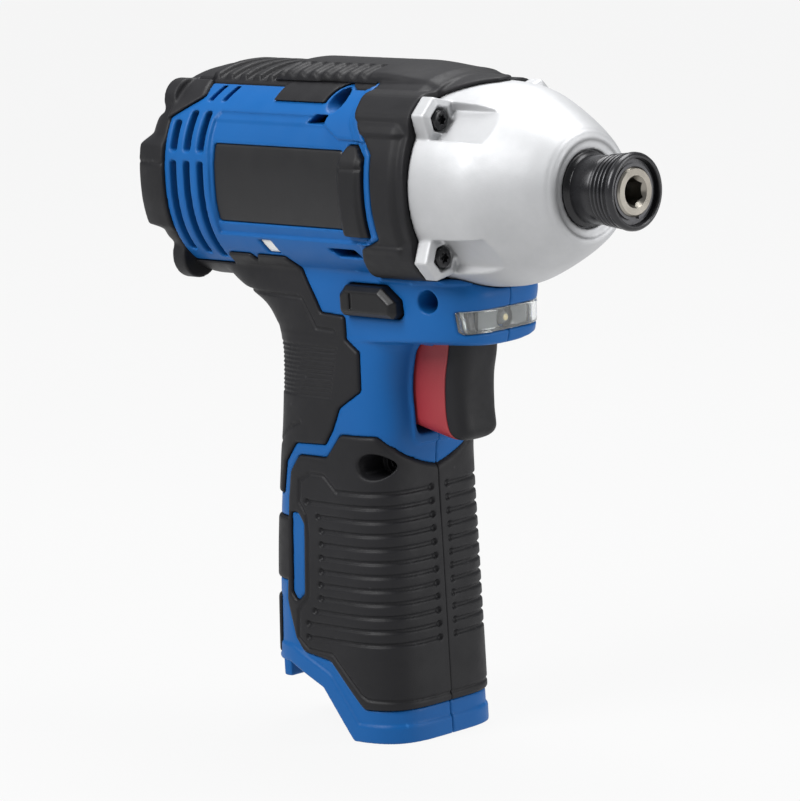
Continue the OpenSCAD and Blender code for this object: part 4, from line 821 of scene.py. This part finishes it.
def strip_field(s):
    x, y, z = s.x, s.y, s.z
    sk = both(barrel_side(y, z), x_barrel_back + 0.05 - x)
    rise = 0.5 + 1.2 * strip_ribs(x) * ease((14.6 - np.abs(y)) / 0.6)
    zone = both(strip_zone(x, y, z), -both(outline(tab_soft, x, z), 13.9 - np.abs(y)))
    f = smax(sk - rise, zone, 0.8)
    f = smax(f, -(sk + pad_depth), 0.3)
    p = shell_screws[2]
    return smax(f, -both(radius(x - p[0], z - p[1]) - 3.85, 8 - np.abs(y)), 0.4)


space = Space((x_barrel_back, -22.5, 18), (x_boot_back + 1, 22.5, 30), step=0.36)
make("top_pad_rubber", surface(strip_field(space), space), "body", ["top_pad"], rubber)


# Flank plates
def panel_field(s):
    sk = barrel_side(s.y, s.z)
    f = smax(sk + 1.15, outline(panel_soft, s.x, s.z) + bed_gap, 0.4)
    return smax(both(f, s.y + 5), -(sk + 2.3), 0.2)


space = Space((x_panel - 49, -29, -11), (x_panel + 0.5, -24, 11), step=0.4)
make_pair("side_panel", "plate", surface(panel_field(space), space), panel_black)


def bumper_field(s):
    x, y, z = s.x, s.y, s.z
    sk = barrel_side(y, z)
    rise = 1.5 - 1.5 * ease((z - 7.4) / 5.5) - 0.5 * ease((np.abs(x - x_panel - 4.3) - 2.6) / 1.4)
    f = smax(sk - rise, outline(bumper_soft, x, z) + 0.08, 0.7)
    f = smax(both(f, y + 5), -(sk + 2.6), 0.2)
    return smax(f, 0.4 - radius(z - 6.2, sk - rise), 0.3)


space = Space((x_panel - 0.5, -31, -12.5), (x_panel + 9.5, -20, 12.5), step=0.3)
make_pair("bumper", "block", surface(bumper_field(space), space), rubber)

# a pale inner sleeve shows through one slot on each flank
space = Space((x_panel - 36.5, -27, -20), (x_panel - 27.5, -14, -13.5), step=0.3)
sleeve = both(np.abs(barrel_side(space.y, space.z) + 1.5) - 0.7, space.y + 8,
              outline(soften(light_slot, 0.4), space.x, space.z) + 0.08)
mesh = surface(sleeve, space)
make("slot_liner", joined([mesh, mirrored(*mesh)]), "body", [], white)


# Rear cover
def cover_field(s):
    x, y, z = s.x, s.y, s.z
    t = np.clip((x_barrel_back - x) / (x_barrel_back - x_cover_back), 0, 1)
    shrink = 7.0 * t ** 2.2
    side = barrel_side(y, z)
    lobe = (0.72 * shrink + 0.9) * ease((12 - z) / 3.2) * ease((z + 14.6) / 2.2) * ease((1.02 - t) / 0.2)
    f = (side + shrink - lobe) / np.sqrt(1 + (15.4 * t ** 1.2 / 12.5) ** 2)
    f = smax(f, x_cover_back - x, 2.5)
    f = smax(f, x - x_barrel_back + 0.08, 0.6)
    # tabs that reach forward over the upper corners
    tab = both(outline(tab_soft, x, z) + 0.08, 14.6 - np.abs(y))
    tab = smax(smax(side - 0.75, tab, 0.6), -(side + 0.95), 0.2)
    f = smin(f, both(tab, x_barrel_back - 1 - x), 0.5)
    # ears with the screws, the lower ones larger
    for cy, cz in cover_screws:
        lower = cz < 0
        ear = radius(y - cy, z - cz + 1.2 * lower) - 5.7 - 0.7 * lower
        boss = smax(smax(ear, x - x_barrel_back + 0.08, 0.4), x_barrel_back - cover_seat - x, 0.8)
        f = smin(f, boss, 0.8)
        f = smax(f, -both(ear - 0.5, x - x_barrel_back + cover_seat), 0.7)
        f = smax(f, screw_hole_r - radius(y - cy, z - cz), 0.3)
    f = smax(f, 0.35 - radius(z - 4.5, side + shrink - lobe), 0.3)
    return smax(f, -both(radius(y, z) - 14, x_cover_back + 4 - x), 0.5)


space = Space((x_cover_back - 0.5, -31, -30), (x_barrel_back + 10, 31, 30), step=0.42)
make("rear_cover_shell", surface(cover_field(space), space), "body", ["rear_cover"], rubber)

# Front boot
lip_soft = soften(shifted(x_case_back, 0, [
    (-3, -15), (0.5, -13.4), (7, -6.5), (11, -2), (11, 2), (7, 6.5), (0.5, 13.4), (-3, 15)]), 1.5)


def boot_field(s):
    x, y, z = s.x, s.y, s.z
    side = barrel_side(y, z)
    taper = ease((x - x_case_back + 5) / 5)
    block_up = ease((z - 14.2) / 1.2) * ease((23.6 - z) / 1.6)
    block_low = ease((-13.4 - z) / 1.2)
    rise = 1.0 + 0.9 * np.maximum(block_up, block_low) - 1.9 * taper
    rise = rise - 0.35 * ease((1.2 - np.abs(z - 18.3)) / 0.8) * block_up
    for _, cy, cz in lugs:
        rise = np.maximum(rise, 2.4 * ease((7.8 - radius(y - cy, z - cz)) / 2.0))
    f = smax(smax(side - rise, outline(boot_soft, x, z), 0.9), x - x_case_back, 0.6)
    # tongue along the top
    d = x - x_tongue
    crest = ease(d / 3.0) * 2.0 + 0.9 - 1.5 * ease((x - x_boot_back) / 20) - 1.2 * taper
    run = ease((x - x_panel + 34.5) / 2) * ease((x_panel - 0.5 - x) / 2)
    wave = np.clip(0.5 - 1.1 * np.cos(2 * math.pi * (x - x_panel + 33.5) / 4.4), 0, 1)
    shoulder = run * ease((np.abs(y) - 6.2) / 0.7)
    wide = 14.2 - 1.2 * np.clip(d / 60.7, 0, 1)
    tongue = smax(side - crest + shoulder * (0.75 - 0.75 * wave), (np.abs(y) - wide) * 0.95, 1.3)
    tongue = smax(smax(tongue, x_tongue - x, 0.8), x - x_case_back, 0.6)
    under = np.where(x < x_boot_back, 0.55 - side, -side - 2.5)
    f = smin(f, both(tongue, under, 4 - z), 0.8)
    # lip over the crest of the gear case
    cs = case_side(x, y, z)
    lip = smax(smax(cs - 1.3, outline(lip_soft, x, y), 0.9), 0.25 - cs, 0.2)
    f = smin(f, both(lip, 4 - z), 0.7)
    f = both(f, -both(radius(y, z) - skirt_r - 0.3, x - x_case_back))
    f = both(f, -both(cs - 0.25, x_case_back - 0.2 - x))
    for a, cy, cz in lugs:
        def lug_room(x, y, z):
            six = hexagon(y - cy, z - cz, a) - np.where(x > x_case_back + 0.1, 5.5, 4.68)
            return both(six, x_case_back - 6.3 - x)

        s.cut(f, (x_case_back - 8, cy - 8, cz - 8), (x_case_back + 16, cy + 8, cz + 8), lug_room, 0.2)
    return f


space = Space((x_tongue - 1, -31.5, -24.5), (x_case_back + 12, 31.5, 32.5), step=0.42)
make("front_boot_rubber", surface(boot_field(space), space), "body", ["front_boot"], rubber)

# Gear case
channel = 23.7


def gear_case_field(s):
    x, y, z = s.x, s.y, s.z
    r = radius(y, z)
    f = smax(case_side(x, y, z), x - x_nose, 2.2)
    f = smax(f, x_case_back - 7 - x, 0.3)
    f = np.where(x < x_case_back - 0.3, np.maximum(f, r - skirt_r), f)
    for a, cy, cz in lugs:
        c, q = math.cos(math.radians(a)), math.sin(math.radians(a))
        near = ((x_case_back - 8, cy - 11, cz - 11), (x_nose + 2, cy + 11, cz + 11))

        def boss(x, y, z):
            six = hexagon(y - cy, z - cz, a)
            front = x - (lug_x1 + 1.9 - 0.45 * np.maximum(six - 3.7, 0))
            six = six - np.where(x > x_case_back + 0.1, 5.4, 4.6)
            return smax(smax(six, front, 0.5), x_case_back - 6 - x, 0.4)

        def pocket(x, y, z):
            out = y * c + z * q
            along = np.abs(z * c - y * q)
            d = smax(channel - out, (along - 5.2 - 0.4 * (out - channel)) * 0.93, 0.3)
            return both(d, lug_x1 + 1.2 - x)

        def recess(x, y, z):
            return both(hexagon(y - cy, z - cz, a) - 3.2, np.abs(x - lug_x1 - 2) - 1)

        def head_room(x, y, z):
            return both(radius(y - cy, z - cz) - 2.95, np.abs(x - lug_x1 - 1.5) - 1.5)

        s.cut(f, *near, pocket, 0.35)
        s.add(f, *near, boss, 0.5)
        s.cut(f, *near, recess, 0.2)
        s.cut(f, *near, head_room, 0.2)
        s.cut(f, *near, lambda x, y, z: radius(y - cy, z - cz) - screw_hole_r, 0.1)
    # dished ring round the shaft, its bore and the room for the hammer
    f = smax(f, -both(r - 12.4, x_nose - 0.5 - x), 0.8)
    f = smax(f, -both(r - 10.15, x_nose - 1.7 - x), 0.3)
    f = both(f, np.where(x > x_nose - 2.65, 7.4, 9.06) - r)
    return both(f, -both(r - cavity_r, x - (x_nose - 16.3)))


space = Space((x_case_back - 7.5, -33, -33), (x_nose + 0.5, 33, 33), step=0.42)
casting = surface(gear_case_field(space), space)
make("gear_case_casting", casting, "body", ["gear_case"], cast)


# Screws
def screw_mesh(head, length):
    """A screw along +X, its seat at 0 and its head behind it, with a six-lobed recess."""
    s = Space((-2.4, -head - 0.2, -head - 0.2), (length, head + 0.2, head + 0.2), step=0.16)
    r = radius(s.y, s.z)
    f = smax(smax(r - head, -2.2 - s.x + 0.06 * r * r, 0.6), s.x, 0.2)
    f = either(f, both(r - 1.38, s.x - length + 0.3, -s.x - 0.5))
    lobes = head * (0.44 + 0.085 * np.cos(6 * np.arctan2(s.z, s.y)))
    return surface(smax(f, -both(r - lobes, s.x + 0.75), 0.2), s)


verts, quads = screw_mesh(head=3.3, length=13)
parts = [(verts + [x_barrel_back - cover_seat, cy, cz], quads) for cy, cz in cover_screws]
make("rear_cover_screw_set", joined(parts), "body", ["rear_cover_screws"], black_steel)
verts, quads = screw_mesh(head=2.75, length=17)
parts = [(verts * [-1, -1, 1] + [lug_x1, cy, cz], quads) for _, cy, cz in lugs]
make("gear_case_screw_set", joined(parts), "body", ["gear_case_screws"], black_steel)
verts, quads = screw_mesh(head=2.7, length=14)
across = np.stack([-verts[:, 1], verts[:, 0], verts[:, 2]], 1)
parts = [(across + [p[0], -shell_seat, p[1]], quads) for p in shell_screws]
make("housing_screw_set", joined(parts), "body", ["housing_screws"], black_steel)

# Pull sleeve
x_sleeve = low("collet_sleeve")[0]
ball_x = (low("detent_ball_right")[0] + high("detent_ball_right")[0]) / 2
bore_r = 6.6
# the bore opens towards the back, so that the balls can move out when the sleeve is pulled
ramp_r = bore_r + (ball_x - x_nose + 1.35) / 3.5
profile = shifted(x_nose, 0, [(-1.35, ramp_r), (-1.35, 9.6), (-1.1, 9.85), (-0.5, 9.85), (-0.2, 9.5)])
profile += shifted(x_sleeve, 0, [(0.1, 8.75), (0.6, 8.7), (3.5, 8.85), (6.4, 8.95), (6.9, 8.8)])
for k in range(4):
    rise = 9.25 + 0.15 * k
    profile += shifted(x_sleeve + 7.1 + 1.42 * k, 0, [
        (0, 8.6), (0.2, rise - 0.2), (0.45, rise), (0.75, rise), (1.0, rise - 0.2), (1.2, 8.6)])
profile += shifted(x_sleeve + 12.8, 0, [
    (0, 8.9), (0.15, 9.5), (0.5, 9.85), (1.1, 10.05), (1.8, 10.0), (2.3, 9.75), (2.6, 9.35), (2.7, 8.95),
    (2.6, 8.65), (2.1, 8.52)])
profile += [(x_sleeve + 7.0, 8.52), (x_sleeve + 6.8, bore_r), (ball_x, bore_r)]
make("collet_sleeve_turned", lathe(profile[::-1]), "collet", ["collet_sleeve"], black_steel)


# Trigger
def trigger_line(z, column):
    return curve(trigger_rows, np.clip(z, trigger_z0, trigger_z1), column)


space = Space((x_grip - 20, -8.2, trigger_z0 - 0.5), (trigger_front + 2.5, 8.2, trigger_z1 + 0.5), step=0.28)
x, y, z = space.x, space.y, space.z
form = smax(np.abs(y) - trigger_half, x - trigger_line(z, 1), 5.0)
form = smax(form, z - trigger_z1 + 0.05, 0.8)
form = smax(form, trigger_floor(x) + 0.05 - z, 3.6)
seam = trigger_line(z, 2)
body_f = smax(smax(form, x - seam + 0.06, 0.35), trigger_back - x, 1.0)
plunger = both(radius(y, z - trigger_mid) - plunger_r, x - trigger_back - 2, plunger_end - x)
make("trigger_body", surface(either(body_f, plunger), space), "trigger", ["trigger"], red)
cover = surface(smax(form - 0.12, seam + 0.06 - x, 0.5), space)
make("trigger_front_cover", cover, "trigger", ["trigger_cover"], rubber)

# Direction button
reach = high("direction_selector")[1]
space = Space((selector_x0 - 0.3, -reach - 0.3, selector_z - 4.4),
              (selector_x0 + 21, reach + 0.3, selector_z + 4.4), step=0.26)
x, y, z = space.x, space.y, space.z
d = outline(selector_soft, x, z)
f = smax(smax(d, np.abs(y) - reach, 0.3), (d + np.abs(y) - reach + 1.5) * 0.707, 0.3)
bar = block(x, y, z, (selector_x0 + 6, -15, selector_z - 2.4), (selector_x0 + 14, 15, selector_z + 2.4), 0.3)
f = either(both(f, 9 - np.abs(y)), bar)
mark = block(x, y, z, (selector_x0 + 4.6, -99, selector_z - 2.2),
             (selector_x0 + 5.4, 99, selector_z + 2.2), 0.2)
button = surface(smax(f, -both(mark, reach - 0.7 - np.abs(y)), 0.25), space)
make("direction_button", button, "selector", ["direction_selector"], hard_black)

# Lamp
lamp_floor = 6.1
space = Space((x_head - 12, -20, lens_z - 3.6), (x_head + 0.8, 20, lens_z + 3.6), step=0.26)
x, y, z = space.x, space.y, space.z
wall = handle(x, y, z)
zone = outline(lens_soft, x, z)
lens = surface(smax(smax(wall - 0.15, zone, 0.5), -(wall + 1.3), 0.25), space)
make("led_lens_window", lens, "body", ["led_lens"], clear)
# bright reflectors with a round cup for the lamp, and a dark pocket at each end
ring = radius(y, z - lens_z)
cup = 2.2 + 3.4 * np.clip((2.95 - ring) / 1.1, 0, 1)
cup = cup - 0.5 * ease((np.abs(y) - 3.0) / 0.6) * ease((8.9 - np.abs(y)) / 5)
tray = smax(both(wall + cup, -(wall + lamp_floor)), zone + 0.25, 0.2)
tray = both(tray, np.abs(y) - 8.8, 2.06 - ring)
rim = both(wall + 1.42, -(wall + 2.3), zone + 0.1, -(zone + 0.55))
make("lamp_tray", surface(either(tray, rim), space), "body", [], mirror)
ends = both(wall + 2.5, -(wall + lamp_floor), zone + 0.1, -both(zone + 0.75, -(wall + 3.9)), 9.0 - np.abs(y))
make("lamp_pockets", surface(ends, space), "body", [], smoke)


# Springs
def spring(name, body, turns, wire):
    """A coil of round wire along X that fills the part's box."""
    lo, hi = np.array(low(name)), np.array(high(name))
    s = np.linspace(0, 1, 48 * turns + 1)[:, None]
    a = math.tau * turns * s
    sides = 12
    b = math.tau * np.arange(sides)[None, :] / sides
    r = (hi[1] - lo[1]) / 2 - wire + wire * np.cos(b)
    along = lo[0] + wire + (hi[0] - lo[0] - 2 * wire) * s + wire * np.sin(b)
    verts = np.stack([along, r * np.cos(a), (lo[2] + hi[2]) / 2 + r * np.sin(a)], -1).reshape(-1, 3)
    rings = np.arange(len(verts)).reshape(-1, sides)
    after = np.roll(rings, -1, 1)
    tube = np.stack([rings[:-1], rings[1:], after[1:], after[:-1]], -1).reshape(-1, 4)
    cap = np.array([(0, k, k + 1, k + 2) for k in range(1, sides - 2, 2)])
    quads = np.concatenate([tube, rings[0][cap], rings[-1][cap[:, ::-1]]])
    obj = make(name + "_coil", (verts, quads), body, [name], bright)
    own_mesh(obj)


spring("hammer_spring", "spindle", turns=3, wire=1.1)
spring("collet_spring", "anvil", turns=3, wire=0.3)
spring("trigger_spring", "body", turns=4, wire=0.4)

# Carried-over pieces
finish = {"blue_plastic": blue, "soft_black": rubber, "black_plastic": hard_black, "red_plastic": red,
          "white_plastic": white, "clear_lens": clear, "green_board": board, "cast_aluminium": cast,
          "black_steel": black_steel, "tool_steel": steel, "bright_steel": bright, "bronze": bronze,
          "copper": copper, "dark_iron": iron}
special = {"led": lamp, "anvil": worn_steel, "collet_ring": black_steel, "collet_washer": black_steel}
for part in frame["record"]["subparts"]:
    name = part["node"]
    obj = frame["nodes"][name]
    mat = special.get(name, finish[part["material_slot"]])
    if not obj.material_slots:
        obj.data.materials.append(mat)
    for slot in obj.material_slots:
        slot.link = "OBJECT"
        slot.material = mat
    if name in ("anvil", "terminal_block", "battery_terminals", "led_board"):
        bevel = obj.modifiers.new("edge", "BEVEL")
        bevel.width = 0.0002
        bevel.segments = 2
        bevel.limit_method = "ANGLE"
        bevel.angle_limit = math.radians(40)
        bevel.harden_normals = False

# Stage
scene = bpy.context.scene
scene.view_settings.view_transform = "Standard"
cam_right = np.array((0.7068, 0.7051, -0.0585))
cam_up = np.array((-0.0772, 0.1590, 0.9843))
cam_back = np.array((0.7033, -0.6911, 0.1668))
cam_place = (0.84606, -0.91876, 0.16148)


def pose(right, up, back, place):
    return Matrix([(right[i], up[i], back[i], place[i]) for i in range(3)] + [(0, 0, 0, 1)])


cam_data = bpy.data.cameras.new("photo_view")
cam = bpy.data.objects.new("photo_view", cam_data)
scene.collection.objects.link(cam)
cam.matrix_world = pose(cam_right, cam_up, cam_back, cam_place)
cam_data.sensor_width = 36
cam_data.lens = 224.7
cam_data.clip_end = 40
scene.camera = cam

world = bpy.data.worlds.new("studio")
scene.world = world
world.use_nodes = True
sky = world.node_tree.nodes["Background"]
sky.inputs["Color"].default_value = (0.96, 0.98, 1, 1)
sky.inputs["Strength"].default_value = 0.28

floor_me = bpy.data.meshes.new("floor")
w, floor_z = 12.0, z_foot * MM
floor_me.from_pydata([(-w, -w, floor_z), (w, -w, floor_z), (w, w, floor_z), (-w, w, floor_z)], [],
                     [(0, 1, 2, 3)])
floor = bpy.data.objects.new("floor", floor_me)
scene.collection.objects.link(floor)
mat, tree, p = shader("pale_floor", {"Roughness": 0.9, "Specular IOR Level": 0.0,
                                     "Emission Color": (1, 1, 1, 1), "Emission Strength": 0.905})
tree.links.new(ramp(tree, noise(tree, 3.0, 2), [(0.3, grey(0.028)), (0.7, grey(0.032))]), p["Base Color"])
floor_me.materials.append(mat)

centre = np.array((-0.085, 0.0, -0.055))


def softbox(name, right, up, back, size, power):
    """A soft light placed by the camera's own directions, aimed at the tool."""
    light = bpy.data.lights.new(name, "AREA")
    light.shape = "RECTANGLE"
    light.size, light.size_y = size
    light.energy = power
    obj = bpy.data.objects.new(name, light)
    scene.collection.objects.link(obj)
    out = right * cam_right + up * cam_up + back * cam_back
    place = centre + out
    out = out / np.linalg.norm(out)
    side = np.cross(cam_up, out)
    side = side / np.linalg.norm(side)
    obj.matrix_world = pose(side, np.cross(out, side), out, place)


softbox("key", -0.75, 0.65, 0.55, size=(0.5, 0.7), power=14.0)
softbox("top", 0.15, 1.05, -0.1, size=(0.9, 0.5), power=13.0)
softbox("fill", 0.95, 0.25, 0.35, size=(0.35, 0.9), power=6.5)
